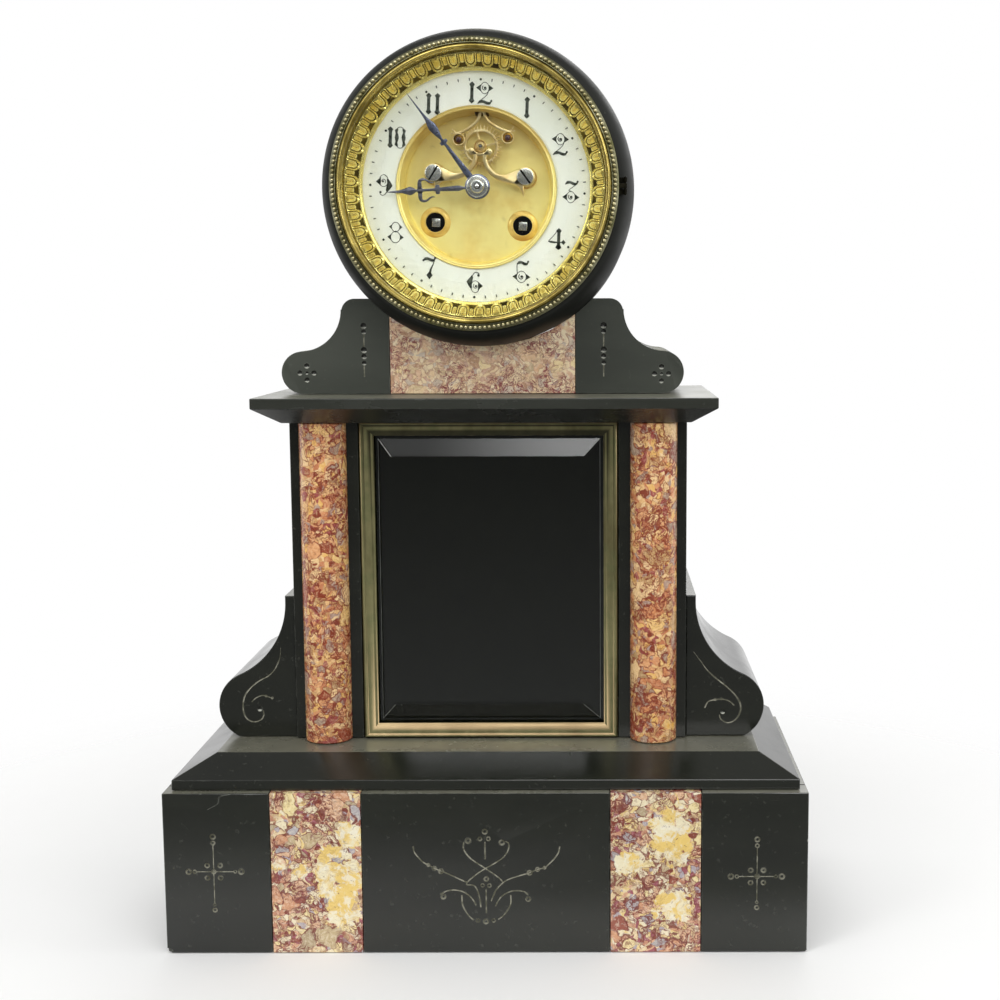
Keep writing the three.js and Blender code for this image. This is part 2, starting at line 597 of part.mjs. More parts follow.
function dialDish() {
  const flangeBack = dishFlange.front + dishFlange.thickness;
  const floorBack = dish.floor + dish.sheet;
  const rimBack = dish.rimFront + dish.rimThickness;
  const dialCentre = turnedBy([[-movement.shift, 0]], movement.turn)[0];
  const pan = turned([
    [0, dish.floor], [dish.floorRadius, dish.floor], [dish.mouth, rimBack],
    [dish.mouth + dish.sheet / 2, dish.rimFront], [dish.rim - dish.sheet / 2, dish.rimFront],
    [dish.rim, rimBack], [dishFlange.neck, rimBack],
    [dishFlange.neck, dishFlange.front], [dishFlange.radius, dishFlange.front],
    [dishFlange.radius, flangeBack], [dishFlange.neck, flangeBack],
    [dish.floorRadius + dish.sheet, floorBack], [0, floorBack],
  ], dialCentre, facets.ring);
  const collars = windingPlaces.map((place) =>
    disc(place, windingHole.collarRadius, dish.floor - windingHole.collarHeight, floorBack));
  const feet = dialFootShares.map((share) =>
    disc(polar([0, 0], dialFoot.circle, 2 * Math.PI * share), dialFoot.radius,
      dish.floor + dish.sheet / 2, frontPlate.front - seam, facets.tiny));
  const through = (place, radius) => disc(place, radius, dish.floor - overrun, floorBack + overrun);
  const notchHalf = anchor.hubRadius + anchor.armWidth + running;
  const notchBottom = dish.floorRadius - anchor.armWidth;
  const notchTop = palletArbor.height + notchHalf;
  const notchReach = notchHalf + 2 * anchor.armWidth;
  const notchBack = floorBack + overrun;
  const notch = block(-notchReach, notchReach, flangeBack + running, notchBack, notchBottom, notchTop);
  const holes = [
    ...windingPlaces.map((place) => through(place, windingHole.radius)),
    ...cockFeet().map((place) => through(place, cockScrew.shank + running)),
    through([0, 0], pipe.hourRadius + running),
    through([0, escape.height], train.arborRadius + running),
  ];
  return cut(joined(pan, ...collars, ...feet), ...holes, notch);
}

// Toothed wheels. The first tooth, or the first gap, points along the given direction.
function toothedOutline(centre, wheel, toward, gapFirst) {
  const radius = (wheel.teeth * wheel.module) / 2;
  const tip = radius + wheel.module * tooth.addendumShare;
  const root = radius - wheel.module * tooth.dedendumShare;
  const step = (2 * Math.PI) / wheel.teeth;
  const start = toward + (gapFirst ? step / 2 : 0);
  const points = [];
  for (let i = 0; i < wheel.teeth; i += 1) {
    const middle = start + i * step;
    points.push(polar(centre, tip, middle));
    points.push(polar(centre, root, middle + step / 2));
  }
  return points;
}

// The windows between the spokes of a wheel
function crossingHoles(centre, outer, inner, spokes, spokeWidth) {
  const holes = [];
  for (let i = 0; i < spokes; i += 1) {
    const from = (2 * Math.PI * i) / spokes;
    const to = (2 * Math.PI * (i + 1)) / spokes;
    const outerGap = spokeWidth / 2 / outer;
    const innerGap = spokeWidth / 2 / inner;
    holes.push([
      ...arcPoints(centre, outer, from + outerGap, to - outerGap, facets.corner),
      ...arcPoints(centre, inner, to - innerGap, from + innerGap, 2),
    ]);
  }
  return holes;
}

function spokedWheel(centre, wheel, toward) {
  const radius = (wheel.teeth * wheel.module) / 2;
  const holes = crossingHoles(centre, radius * crossing.rimShare, radius * crossing.hubShare, crossing.spokes,
    radius * crossing.widthShare);
  const outline = toothedOutline(centre, wheel, toward, false);
  return prism(outline, wheel.front, wheel.front + wheel.thickness, holes);
}

const plainWheel = (centre, wheel, toward, gapFirst, hole) =>
  prism(toothedOutline(centre, wheel, toward, gapFirst), wheel.front, wheel.front + wheel.thickness,
    hole ? [circlePoints(centre, hole, facets.small)] : []);

const meshDistance = (wheel, pinion) => ((wheel.teeth + pinion.teeth) * (wheel.module + pinion.module)) / 4;
const direction = (from, to) => Math.atan2(to[1] - from[1], to[0] - from[0]);

// The point at one distance from a and another from b, on the side of the line that sign gives
function thirdCorner(a, b, fromA, fromB, sign) {
  const apart = Math.hypot(b[0] - a[0], b[1] - a[1]);
  const along = (fromA ** 2 - fromB ** 2 + apart ** 2) / (2 * apart);
  const aside = Math.sqrt(fromA ** 2 - along ** 2);
  const [ux, uz] = [(b[0] - a[0]) / apart, (b[1] - a[1]) / apart];
  return [a[0] + ux * along - uz * aside * sign, a[1] + uz * along + ux * aside * sign];
}

// Where each arbor stands, in the movement's own frame
const centre = [0, 0];
const goingPlace = [winding.side, -winding.drop];
const strikePlace = [-winding.side, -winding.drop];
const escapePlace = [0, escape.height];
const palletPlace = [0, palletArbor.height];
const regulatorPlace = [0, regulator.height];
const secondPlace = thirdCorner(centre, goingPlace, meshDistance(secondWheel, centrePinion),
  meshDistance(greatWheel, secondPinion), 1);
const thirdPlace = thirdCorner(centre, escapePlace, meshDistance(centreWheel, thirdPinion),
  meshDistance(thirdWheel, escapePinion), 1);
const minuteWheelPlace = [0, -meshDistance(cannonPinion, minuteWheel)];
const hammerPlace = [hammer.side, hammer.height];
const backPlateBack = backPlate.front + backPlate.thickness;

// Plates: two round plates held apart by pillars
function plateDisc(plate, holes) {
  const outline = circlePoints([0, 0], movement.plateRadius, facets.ring);
  return prism(outline, plate.front, plate.front + plate.thickness,
    holes.map(([place, radius]) => circlePoints(place, radius, facets.tiny)));
}

const cockFeet = () => [[-cockFoot.side, cockFoot.height], [cockFoot.side, cockFoot.height]];

function buildPlates() {
  const arbor = train.arborRadius + running;
  const pivots = [
    [goingPlace, winding.arborRadius + running], [strikePlace, winding.arborRadius + running],
    [secondPlace, arbor], [thirdPlace, arbor], [escapePlace, arbor],
    [palletPlace, palletArbor.radius + running], [hammerPlace, hammer.arborRadius + running],
    [centre, centreArbor.radius + running],
  ];
  const screwHoles = cockFeet().map((place) => [place, cockScrew.shank + running]);
  const frontSolid = plateDisc(frontPlate, [...pivots, ...screwHoles]);
  const pillars = pillarShares.map((share) =>
    disc(polar([0, 0], pillar.circle, 2 * Math.PI * share), pillar.radius,
      frontPlate.front + frontPlate.thickness / 2, backPlate.front - seam, facets.tiny));
  const studBack = frontPlate.front + frontPlate.thickness;
  const stud = disc(minuteWheelPlace, train.pivotRadius, minutePinion.front, studBack, facets.tiny);
  addPiece(works, "front_plate", "brass", joined(frontSolid, ...pillars, stud));
  addPiece(works, "back_plate", "brass", joined(plateDisc(backPlate, pivots), standOfBell()));
}

// The bell's stand: a post that goes back beside the pendulum and an arm behind the bell
function standOfBell() {
  const place = [bellStand.side, -bellStand.drop];
  const armFront = bell.rim + bell.height + running;
  const armBack = armFront + 2 * bellStand.radius;
  const post = disc(place, bellStand.radius, backPlateBack - backPlate.thickness / 2, armBack, facets.tiny);
  const bellPlace = [bell.side, -bell.drop];
  const across = direction(place, bellPlace);
  const length = Math.hypot(bellPlace[0] - place[0], bellPlace[1] - place[1]);
  const arm = prism(shifted(turnedBy([
    [0, -bellStand.radius], [length, -bellStand.radius], [length, bellStand.radius], [0, bellStand.radius],
  ], across), place), armFront, armBack);
  const boss = disc(bellPlace, 2 * bellStand.radius, armFront, armBack, facets.tiny);
  return joined(post, arm, boss);
}

// Barrels with their great wheels, and the winding arbors through them
function springBarrel(place, toward) {
  const teeth = plainWheel(place, greatWheel, toward, false, barrel.bore);
  const front = greatWheel.front + greatWheel.thickness / 2;
  return joined(teeth, washer(place, barrel.bore, barrel.radius, front, barrel.back, 2 * facets.small));
}

function windingArbor(place) {
  const half = winding.squareWidth / 2;
  const squareBack = winding.squareFront + winding.squareLength;
  const square = prism(shifted([[-half, -half], [half, -half], [half, half], [-half, half]], place),
    winding.squareFront, squareBack);
  const rod = disc(place, winding.arborRadius, ratchet.front, backPlateBack);
  const step = (2 * Math.PI) / ratchet.teeth;
  const outline = [];
  for (let i = 0; i < ratchet.teeth; i += 1) {
    outline.push(polar(place, ratchet.radius, i * step));
    outline.push(polar(place, ratchet.radius - ratchet.toothDepth, i * step));
  }
  const wheel = prism(outline, ratchet.front, ratchet.front + ratchet.thickness);
  return joined(square, rod, wheel);
}

function buildBarrels() {
  addPiece(works, "going_barrel", "brass", springBarrel(goingPlace, direction(goingPlace, secondPlace)));
  addPiece(works, "strike_barrel", "brass", springBarrel(strikePlace, 0));
  addPiece(works, "going_arbor", "steel", windingArbor(goingPlace));
  addPiece(works, "strike_arbor", "steel", windingArbor(strikePlace));
}

// Going train
const arborRod = (place, front, back, radius = train.arborRadius) =>
  disc(place, radius, front, back, facets.tiny);

function buildTrain() {
  const arborFront = frontPlate.front;
  const second = joined(
    spokedWheel(secondPlace, secondWheel, direction(secondPlace, centre)),
    plainWheel(secondPlace, secondPinion, direction(secondPlace, goingPlace), true),
    arborRod(secondPlace, arborFront, backPlateBack),
  );
  addPiece(works, "second_wheel", "brass", second);
  const centreSolid = joined(
    spokedWheel(centre, centreWheel, direction(centre, thirdPlace)),
    plainWheel(centre, centrePinion, direction(centre, secondPlace), true),
    arborRod(centre, handNutFront(), backPlateBack, centreArbor.radius),
  );
  addPiece(works, "center_wheel", "brass", centreSolid);
  const third = joined(
    spokedWheel(thirdPlace, thirdWheel, direction(thirdPlace, escapePlace)),
    plainWheel(thirdPlace, thirdPinion, direction(thirdPlace, centre), true),
    arborRod(thirdPlace, arborFront, backPlateBack),
  );
  addPiece(works, "third_wheel", "brass", third);
  addPiece(works, "escape_wheel", "brass", escapeWheel());
}

// Escape wheel: pointed teeth raked one way on a light rim, with its pinion between the plates
function escapeWheel() {
  const tip = escape.tipRadius;
  const root = tip - escapeTooth.depth;
  const step = (2 * Math.PI) / escapeTooth.count;
  const outline = [];
  for (let i = 0; i < escapeTooth.count; i += 1) {
    outline.push(polar(escapePlace, root, (i - escapeTooth.backShare) * step));
    outline.push(polar(escapePlace, tip, i * step));
    outline.push(polar(escapePlace, root, (i + escapeTooth.frontShare) * step));
  }
  const rim = root * crossing.rimShare;
  const holes = crossingHoles(escapePlace, rim, escape.hub, crossing.spokes, tip * crossing.widthShare);
  const cockBack = cock.front + cock.thickness;
  return joined(
    prism(outline, escape.front, escape.front + escape.thickness, holes),
    plainWheel(escapePlace, escapePinion, direction(escapePlace, thirdPlace), true),
    arborRod(escapePlace, cockBack, backPlateBack),
    arborRod(escapePlace, cock.front - running, cockBack + overrun, cock.hubBore - running),
  );
}

// Motion work: cannon pinion, minute wheel and hour wheel between the dish and the front plate
function handNutFront() {
  return minuteHand.front - handBoss.depth / 2 - handNut.washerThickness - handNut.thickness;
}

function buildMotionWork() {
  const cannonBack = frontPlate.front - seam;
  const cannon = cut(joined(
    plainWheel(centre, cannonPinion, direction(centre, minuteWheelPlace), false),
    disc(centre, pipe.cannonRadius, minuteHand.front, cannonBack),
  ), disc(centre, pipe.cannonBore, minuteHand.front - overrun, cannonBack + overrun, facets.tiny));
  addPiece(works, "cannon_pinion", "steel", cannon);
  const bore = train.pivotRadius + running;
  const minuteSolid = cut(joined(
    plainWheel(minuteWheelPlace, minuteWheel, direction(minuteWheelPlace, centre), true),
    plainWheel(minuteWheelPlace, minutePinion, direction(minuteWheelPlace, centre), false),
    disc(minuteWheelPlace, bore + 2 * running, minutePinion.front, minuteWheel.front + minuteWheel.thickness),
  ), disc(minuteWheelPlace, bore, minutePinion.front - overrun, frontPlate.front, facets.tiny));
  addPiece(works, "minute_wheel", "brass", minuteSolid);
  const hour = cut(joined(
    plainWheel(centre, hourWheel, direction(centre, minuteWheelPlace), true),
    disc(centre, pipe.hourRadius, hourHand.front, hourWheel.front + hourWheel.thickness),
  ), disc(centre, pipe.hourBore, hourHand.front - overrun, hourWheel.front + hourWheel.thickness + overrun));
  addPiece(works, "hour_wheel", "brass", hour);
}

// Hands, drawn pointing up with their lengths as shares, then turned to the time shown
function handBlade(hand, shares) {
  const right = shares.map(([across, along]) => [across * hand.length, along * hand.length]);
  const outline = [...right, ...mirrored(right)];
  return prism(turnedBy(outline, movement.turn - hand.angle), hand.front, hand.front + hand.thickness);
}

function buildHands() {
  const minuteBoss = disc(centre, handBoss.radius, minuteHand.front - handBoss.depth / 2,
    minuteHand.front + handBoss.depth / 2, 2 * facets.tiny);
  const minuteBore = disc(centre, pipe.cannonRadius + running, minuteHand.front, minuteHand.front + overrun);
  const arborHole = disc(centre, centreArbor.radius + running, minuteHand.front - overrun,
    minuteHand.front + overrun, facets.tiny);
  const minute = cut(joined(handBlade(minuteHand, minuteBladeShares), minuteBoss), minuteBore, arborHole);
  addPiece(works, "minute_hand", "bluedSteel", minute);
  const hourBack = hourHand.front + hourHand.thickness;
  const hourBoss = disc(centre, handBoss.hourRadius, hourHand.front, hourBack, 2 * facets.tiny);
  const hourBore = disc(centre, pipe.hourRadius + running, hourHand.front - overrun, hourBack + overrun);
  const hour = cut(joined(handBlade(hourHand, hourBladeShares), hourBoss), hourBore);
  addPiece(works, "hour_hand", "bluedSteel", hour);
  const washerBack = minuteHand.front - handBoss.depth / 2 - running;
  const nutBack = washerBack - handNut.washerThickness;
  const nutFront = nutBack - handNut.thickness;
  const nut = joined(
    disc(centre, handNut.washerRadius, nutBack, washerBack, 2 * facets.tiny),
    disc(centre, handNut.radius, nutFront, nutBack + handNut.washerThickness / 2, 2 * facets.tiny),
  );
  const threadHole = disc(centre, centreArbor.radius + running, nutFront - overrun, washerBack + overrun,
    facets.tiny);
  addPiece(works, "hand_nut", "steel", cut(nut, threadHole));
}

// Visible escapement: the anchor with its two jewels, and the cock that carries the escape wheel
const jewelPlaces = () => [-1, 1].map((sign) =>
  shifted(turnedBy([[sign * jewel.side, -jewel.drop]], anchor.tilt), palletPlace)[0]);

function anchorArm(sign) {
  const along = anchorArmShares.map(([across, down]) => [across * jewel.side, -down * jewel.drop]);
  const line = sweep(along, 2 * facets.corner);
  const half = anchor.armWidth / 2;
  const upper = [];
  const lower = [];
  line.forEach(([x, z], i) => {
    const [ax, az] = line[Math.max(i - 1, 0)];
    const [bx, bz] = line[Math.min(i + 1, line.length - 1)];
    const length = Math.hypot(bx - ax, bz - az);
    const [nx, nz] = [-(bz - az) / length, (bx - ax) / length];
    upper.push([x + nx * half, z + nz * half]);
    lower.unshift([x - nx * half, z - nz * half]);
  });
  const outline = [...upper, ...lower];
  const drawn = shifted(turnedBy(sign > 0 ? outline : mirrored(outline), anchor.tilt), palletPlace);
  return prism(drawn, palletArbor.front, palletArbor.front + anchor.thickness);
}

function buildPallets() {
  const back = palletArbor.front + anchor.thickness;
  const places = jewelPlaces();
  const around = 2 * facets.tiny;
  const rings = places.map((place) => disc(place, jewel.ringRadius, palletArbor.front, back, around));
  const holes = places.map((place) =>
    disc(place, jewel.radius + jewel.gap, palletArbor.front - overrun, back + overrun, around));
  const body = cut(joined(
    anchorArm(-1), anchorArm(1), ...rings,
    disc(palletPlace, anchor.hubRadius, palletArbor.front, back),
  ), ...holes);
  const rod = arborRod(palletPlace, palletArbor.front, crutch.front + crutch.thickness, palletArbor.radius);
  addPiece(works, "pallets", "gilt", joined(body, rod, crutchSolid()));
  const names = ["pallet_jewel_left", "pallet_jewel_right"];
  const stoneBack = escape.front - running;
  const stones = places.map((place) => disc(place, jewel.radius, jewel.front, stoneBack, around));
  stones.forEach((stone, i) => addPiece(works, names[i], "jewel", stone));
}

// Crutch: hangs from the pallet arbor behind the back plate, its fork round the pendulum rod
function crutchSolid() {
  const half = crutch.width / 2;
  const low = -crutch.length;
  const back = crutch.front + crutch.thickness;
  const gripHalf = pendulum.rodRadius + crutch.grip;
  const outer = gripHalf + crutch.prong;
  const bar = (left, right, bottom, top, barBack) => {
    const outline = [[left, bottom], [right, bottom], [right, top], [left, top]];
    return prism(shifted(turnedBy(outline, movement.turn), palletPlace), crutch.front, barBack);
  };
  return joined(
    bar(-half, half, low, 0, back),
    bar(-outer, outer, low, low + 2 * crutch.prong, back),
    bar(-outer, -gripHalf, low, low + 2 * crutch.prong, crutch.front + crutch.fork),
    bar(gripHalf, outer, low, low + 2 * crutch.prong, crutch.front + crutch.fork),
  );
}

function cockArm(sign) {
  const spanX = cockFoot.side;
  const spanZ = escape.height - cockFoot.height + cockFoot.radius;
  const toLocal = ([across, up]) => [across * spanX, escape.height + up * spanZ];
  const inner = sweep(cockArmShares.inner.map(toLocal), 2 * facets.corner);
  const outer = sweep(cockArmShares.outer.map(toLocal), 2 * facets.corner);
  const foot = [cockFoot.side, cockFoot.height];
  const tail = [
    [foot[0] - cockTail.width, foot[1]],
    [foot[0] - cockTail.side, foot[1] - cockTail.drop],
    [foot[0] + cockTail.width, foot[1]],
  ];
  const flat = (outline) => {
    const drawn = sign > 0 ? outline : mirrored(outline);
    return prism(drawn, cock.front, cock.front + cock.thickness);
  };
  const footAt = [sign * foot[0], foot[1]];
  const footSolid = disc(footAt, cockFoot.radius, cock.front, dish.floor - seam, 2 * facets.tiny);
  return joined(flat([...inner, ...outer]), flat(tail), footSolid);
}

function buildCock() {
  const back = cock.front + cock.thickness;
  const barHalf = cockFoot.side * cockArmShares.bar;
  const bar = block(-barHalf, barHalf, cock.front, back, escape.height - cock.hubRadius,
    escape.height - cock.hubRadius / 2);
  const whole = joined(cockArm(-1), cockArm(1), bar, disc(escapePlace, cock.hubRadius, cock.front, back));
  const bores = cockFeet().map((place) =>
    disc(place, cockScrew.shank + running, cock.front - overrun, dish.floor));
  const pivotHole = disc(escapePlace, cock.hubBore, cock.front - overrun, back + overrun, facets.tiny);
  addPiece(works, "escape_cock", "gilt", cut(whole, ...bores, pivotHole));
  const names = ["cock_screw_left", "cock_screw_right"];
  const screws = cockFeet().map((place, i) => slottedScrew(place, cockScrewTurns[i]));
  screws.forEach((screw, i) => addPiece(works, names[i], "steel", screw));
}

function slottedScrew(place, turn) {
  const headBack = cock.front - running;
  const headFront = headBack - cockScrew.headHeight;
  const half = cockScrew.slotWidth / 2;
  const reach = cockScrew.radius + overrun;
  const outline = [[-reach, -half], [reach, -half], [reach, half], [-reach, half]];
  const slotFront = headFront - overrun;
  const slot = prism(shifted(turnedBy(outline, turn), place), slotFront, headFront + cockScrew.slotDepth);
  const head = disc(place, cockScrew.radius, headFront, headBack, 2 * facets.tiny);
  const shankFront = headBack - cockScrew.headHeight / 2;
  const shank = disc(place, cockScrew.shank, shankFront, headBack + cockScrew.length, facets.tiny);
  return cut(joined(head, shank), slot);
}

// Pendulum: suspension spring, rod, bob and rating nut, hung behind the back plate
function buildPendulum() {
  const middle = pendulum.depth;
  const bobHeight = plinthTop + pendulum.bobRise - hanging.position.z;
  const spring = block(-suspension.width / 2, suspension.width / 2, middle - suspension.thickness / 2,
    middle + suspension.thickness / 2, -suspension.length, suspension.blockHeight / 2);
  const rodTop = suspension.blockHeight - suspension.length;
  const bobFoot = bobHeight - pendulum.bobRadius;
  const rod = uprightRound(0, middle, pendulum.rodRadius, bobFoot - 2 * ratingNut.height, rodTop);
  const nut = uprightRound(0, middle, ratingNut.radius, bobFoot - ratingNut.height - seam, bobFoot - seam);
  addPiece(hanging, "pendulum_rod", "steel", joined(spring, rod, nut));
  const half = pendulum.bobThickness / 2;
  const bobProfile = bobProfileShares.map(([across, along]) => [
    pendulum.bobRadius * across,
    middle + half * along,
  ]);
  const lens = turned(bobProfile, [0, bobHeight], 2 * facets.small);
  const bobTop = bobHeight + pendulum.bobRadius;
  const hole = uprightRound(0, middle, pendulum.rodRadius + running, bobFoot - overrun, bobTop + overrun);
  const bob = cut(lens, hole);
  addPiece(hanging, "pendulum_bob", "brass", bob);
  addPiece(works, "suspension_cock", "brass", suspensionCockSolid());
  addPiece(works, "regulator_arbor", "steel", regulatorArbor());
}

// Suspension cock: a bracket on the back plate whose jaw holds the spring
function suspensionCockSolid() {
  const [x, z] = palletPlace;
  const bottom = z + suspension.blockHeight / 2 + seam;
  const top = bottom + suspensionCock.height;
  const half = suspensionCock.width / 2;
  const plateSide = backPlateBack + seam;
  const reach = pendulum.depth + suspensionCock.reach;
  const jaw = block(x - half, x + half, plateSide, reach, bottom, bottom + suspensionCock.thickness);
  const leaf = block(x - half, x + half, plateSide, plateSide + suspensionCock.thickness, bottom, top);
  const leafBack = plateSide + suspensionCock.thickness;
  const bearing = disc(regulatorPlace, 2 * regulator.radius + running, plateSide, leafBack);
  const stemHalf = 2 * regulator.radius;
  const stem = block(x - stemHalf, x + stemHalf, plateSide, leafBack, bottom, regulatorPlace[1]);
  const hole = disc(regulatorPlace, regulator.radius + running, plateSide - overrun, reach + overrun);
  return cut(joined(jaw, leaf, bearing, stem), hole);
}

function regulatorArbor() {
  const half = regulator.squareWidth / 2;
  const [x, z] = regulatorPlace;
  const squareBack = regulator.front + regulator.squareLength;
  const rod = arborRod(regulatorPlace, squareBack - half, regulator.back, regulator.radius);
  const square = block(x - half, x + half, regulator.front, squareBack, z - half, z + half);
  return joined(rod, square);
}

// Bell and hammer
function buildBell() {
  const top = bell.rim + bell.height;
  const place = [bell.side, -bell.drop];
  const inner = bell.radius - bell.wall;
  const rise = (share) => bell.rim + bell.height * share;
  const dome = bellCurveShares.map(([across, up]) => [bell.radius * across, rise(up)]);
  const hollow = bellCurveShares.map(([across, up]) => [inner * across, rise(up) - bell.wall * up]).reverse();
  const hole = [[bell.hole, top], [bell.hole, top - bell.wall]];
  addPiece(works, "bell", "bellMetal", turned([...dome, ...hole, ...hollow], place, 2 * facets.small));
}

function buildHammer() {
  const [x, z] = hammerPlace;
  const half = hammer.armWidth / 2;
  const armBack = hammer.armFront + hammer.armThickness;
  const arm = block(x - half, x + half, hammer.armFront, armBack, z - hammerHead.drop, z);
  const rod = arborRod(hammerPlace, frontPlate.front, armBack, hammer.arborRadius);
  const headPlace = [x, z - hammerHead.drop - hammerHead.radius / 2];
  const head = disc(headPlace, hammerHead.radius, hammer.armFront, hammer.armFront + hammerHead.length);
  addPiece(works, "hammer", "steel", joined(arm, rod, head));
}

// Rear bezel with its two straps, and the hinged door
function buildRear() {
  const centreAt = [0, drumHeight];
  const front = drum.back + seam;
  const back = front + rear.thickness;
  const ring = washer(centreAt, rear.bore, rear.radius, front, back, facets.ring);
  const strapOuter = drum.bore - strap.inset;
  const straps = [-1, 1].map((sign) => {
    const sides = [sign * strapOuter, sign * (strapOuter - strap.thickness)].sort((a, b) => a - b);
    return block(...sides, sightInner.back + seam, front + rear.thickness / 2,
      drumHeight - strap.width / 2, drumHeight + strap.width / 2);
  });
  const leafBack = back + hinge.tab;
  const knuckles = fixedKnuckles(doorHinge, doorHinge.reach - hinge.radius, front, leafBack);
  addPiece(upperStage, "rear_bezel", "brass", joined(ring, ...straps, knuckles));
  const doorFront = back + door.gap;
  const doorBack = doorFront + door.thickness;
  const plate = disc(centreAt, door.radius, doorFront, doorBack, facets.ring);
  const knobAt = [-door.radius * door.knobShare, drumHeight];
  const knobFront = doorBack - door.thickness / 2;
  const knob = disc(knobAt, door.knobRadius, knobFront, doorBack + door.knobHeight);
  const knuckle = movingKnuckle(doorHinge, door.radius - hinge.radius, doorFront, doorBack);
  addPiece(upperStage, "rear_door", "brass", joined(plate, knob, knuckle));
}

buildBase();
buildPlinth();
buildBody();
buildWindow();
buildCornice();
buildSaddle();
buildDrum();
buildBezel();
buildSightRing();
buildDial();
buildPlates();
buildBarrels();
buildTrain();
buildMotionWork();
buildHands();
buildPallets();
buildCock();
buildPendulum();
buildBell();
buildHammer();
buildRear();

export default clock;
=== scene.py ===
"""Black slate mantel clock with marble columns: the finished pieces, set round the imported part.

Sizes are millimetres. A depth is counted backwards from the base's front face, as in the part,
and a place on the dial is [across, up]. Meshes are written in metres.
"""

import json
import math
from contextlib import contextmanager

import bmesh
import bpy
from mathutils import Matrix, Vector, noise


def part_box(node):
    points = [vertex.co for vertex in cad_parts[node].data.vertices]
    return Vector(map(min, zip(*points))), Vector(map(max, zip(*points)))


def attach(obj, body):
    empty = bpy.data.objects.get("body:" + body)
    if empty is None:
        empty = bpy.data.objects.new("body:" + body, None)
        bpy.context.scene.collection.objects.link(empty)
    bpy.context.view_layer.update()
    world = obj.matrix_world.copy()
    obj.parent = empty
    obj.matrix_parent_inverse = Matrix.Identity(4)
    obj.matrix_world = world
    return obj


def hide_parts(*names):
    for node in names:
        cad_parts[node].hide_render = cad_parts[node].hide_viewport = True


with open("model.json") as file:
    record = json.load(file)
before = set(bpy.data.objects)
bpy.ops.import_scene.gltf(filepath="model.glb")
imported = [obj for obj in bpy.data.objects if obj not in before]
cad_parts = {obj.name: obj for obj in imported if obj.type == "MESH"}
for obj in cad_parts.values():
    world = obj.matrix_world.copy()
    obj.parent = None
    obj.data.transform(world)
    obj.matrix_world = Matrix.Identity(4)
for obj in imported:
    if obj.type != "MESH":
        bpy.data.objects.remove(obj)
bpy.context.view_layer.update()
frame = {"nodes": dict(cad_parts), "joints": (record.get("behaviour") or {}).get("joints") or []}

MM = 0.001
BASE_DEPTH = 135

# Dial and movement
DRUM = {"radius": 72.8, "bore": 60, "front": 22, "back": 129.8, "front_radius": 66, "round_depth": 24}
BEADS = {"count": 188, "circle": 63.55, "radius": 0.92, "depth": 11.9}
GLASS = {"radius": 60.4, "front": 14.3, "thickness": 2.4, "bevel": 0.9}
SIGHT = {"flange": 64.5, "flange_front": 20.7, "flange_back": 21.7, "tube": 59.4, "crest": 58.6,
         "crest_front": 18.4, "foot": 53.6, "foot_front": 25.4, "inner": 52.2, "back": 29.3}
EGGS = {"count": 46, "steps_across": 28, "steps_along": 30}
CHAPTER = {"outer": 53.6, "inner": 36.6, "front": 29.6, "thickness": 2}
DISH = {"rim": 37, "rim_front": 28.3, "mouth": 34.9, "floor_radius": 34, "floor": 40, "sheet": 1,
        "flange": 53, "flange_front": 31.9, "flange_sheet": 1.2, "neck": 36.2}
WINDING = {"side": 20.35, "drop": 16, "hole": 4.5, "collar": 7, "square": 4, "square_front": 42.4}
ESCAPE_HEIGHT = 19
PALLET_HEIGHT = 37
DIAL_TURN = math.radians(2.4)
ANCHOR_TILT = math.radians(4.5)
JEWEL = {"side": 11.3, "drop": 14.4, "radius": 1.5, "seat": 2.35, "ring": 2.85, "front": 33.1, "back": 35.7}
COCK = {"front": 33, "thickness": 1.5, "foot_side": 21.2, "foot_height": 6, "foot_radius": 4.4}
SCREW = {"radius": 3.8, "front": 31.1, "head": 1.6, "slot": 0.9, "slot_depth": 0.7}

# Steps round a full circle, the gap in which corners are welded, and the angle past which an edge stays sharp
ROUND = 192
WELD_GAP, COARSE_WELD_GAP = 0.001, 0.002
SHARP = 32


def joint_place(name):
    """Where a joint's axis stands, as [across, up] in millimetres."""
    place = next(joint["pos_m"] for joint in frame["joints"] if joint["name"] == name)
    return place[0] / MM, place[2] / MM


def middle_of(node):
    low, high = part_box(node)
    return (low.x + high.x) / 2 / MM, (low.z + high.z) / 2 / MM


DIAL = middle_of("chapter_ring")
HUB = joint_place("minute_hand_turn")
PENDULUM_TOP = joint_place("pendulum_swing")


def works(u, w):
    """A place in the movement's own frame, which is turned with the dial."""
    across = HUB[0] + u * math.cos(DIAL_TURN) + w * math.sin(DIAL_TURN)
    up = HUB[1] - u * math.sin(DIAL_TURN) + w * math.cos(DIAL_TURN)
    return across, up


def works_outline(points):
    return [works(u, w) for u, w in points]


# Outlines
def polar(centre, radius, angle):
    return centre[0] + radius * math.cos(angle), centre[1] + radius * math.sin(angle)


def arc(centre, radius, start, end, steps):
    return [polar(centre, radius, start + (end - start) * i / steps) for i in range(steps + 1)]


def circle(centre, radius, steps=48):
    return arc(centre, radius, 0, 2 * math.pi * (1 - 1 / steps), steps - 1)


def turned_by(points, angle):
    cos, sin = math.cos(angle), math.sin(angle)
    return [(x * cos - y * sin, x * sin + y * cos) for x, y in points]


def moved(points, place):
    return [(x + place[0], y + place[1]) for x, y in points]


def flipped(points, sign):
    """The points as they are, or on the other side of the middle if the sign is -1."""
    return [(sign * x, y) for x, y in points]


def mirrored(points):
    return flipped(reversed(points), -1)


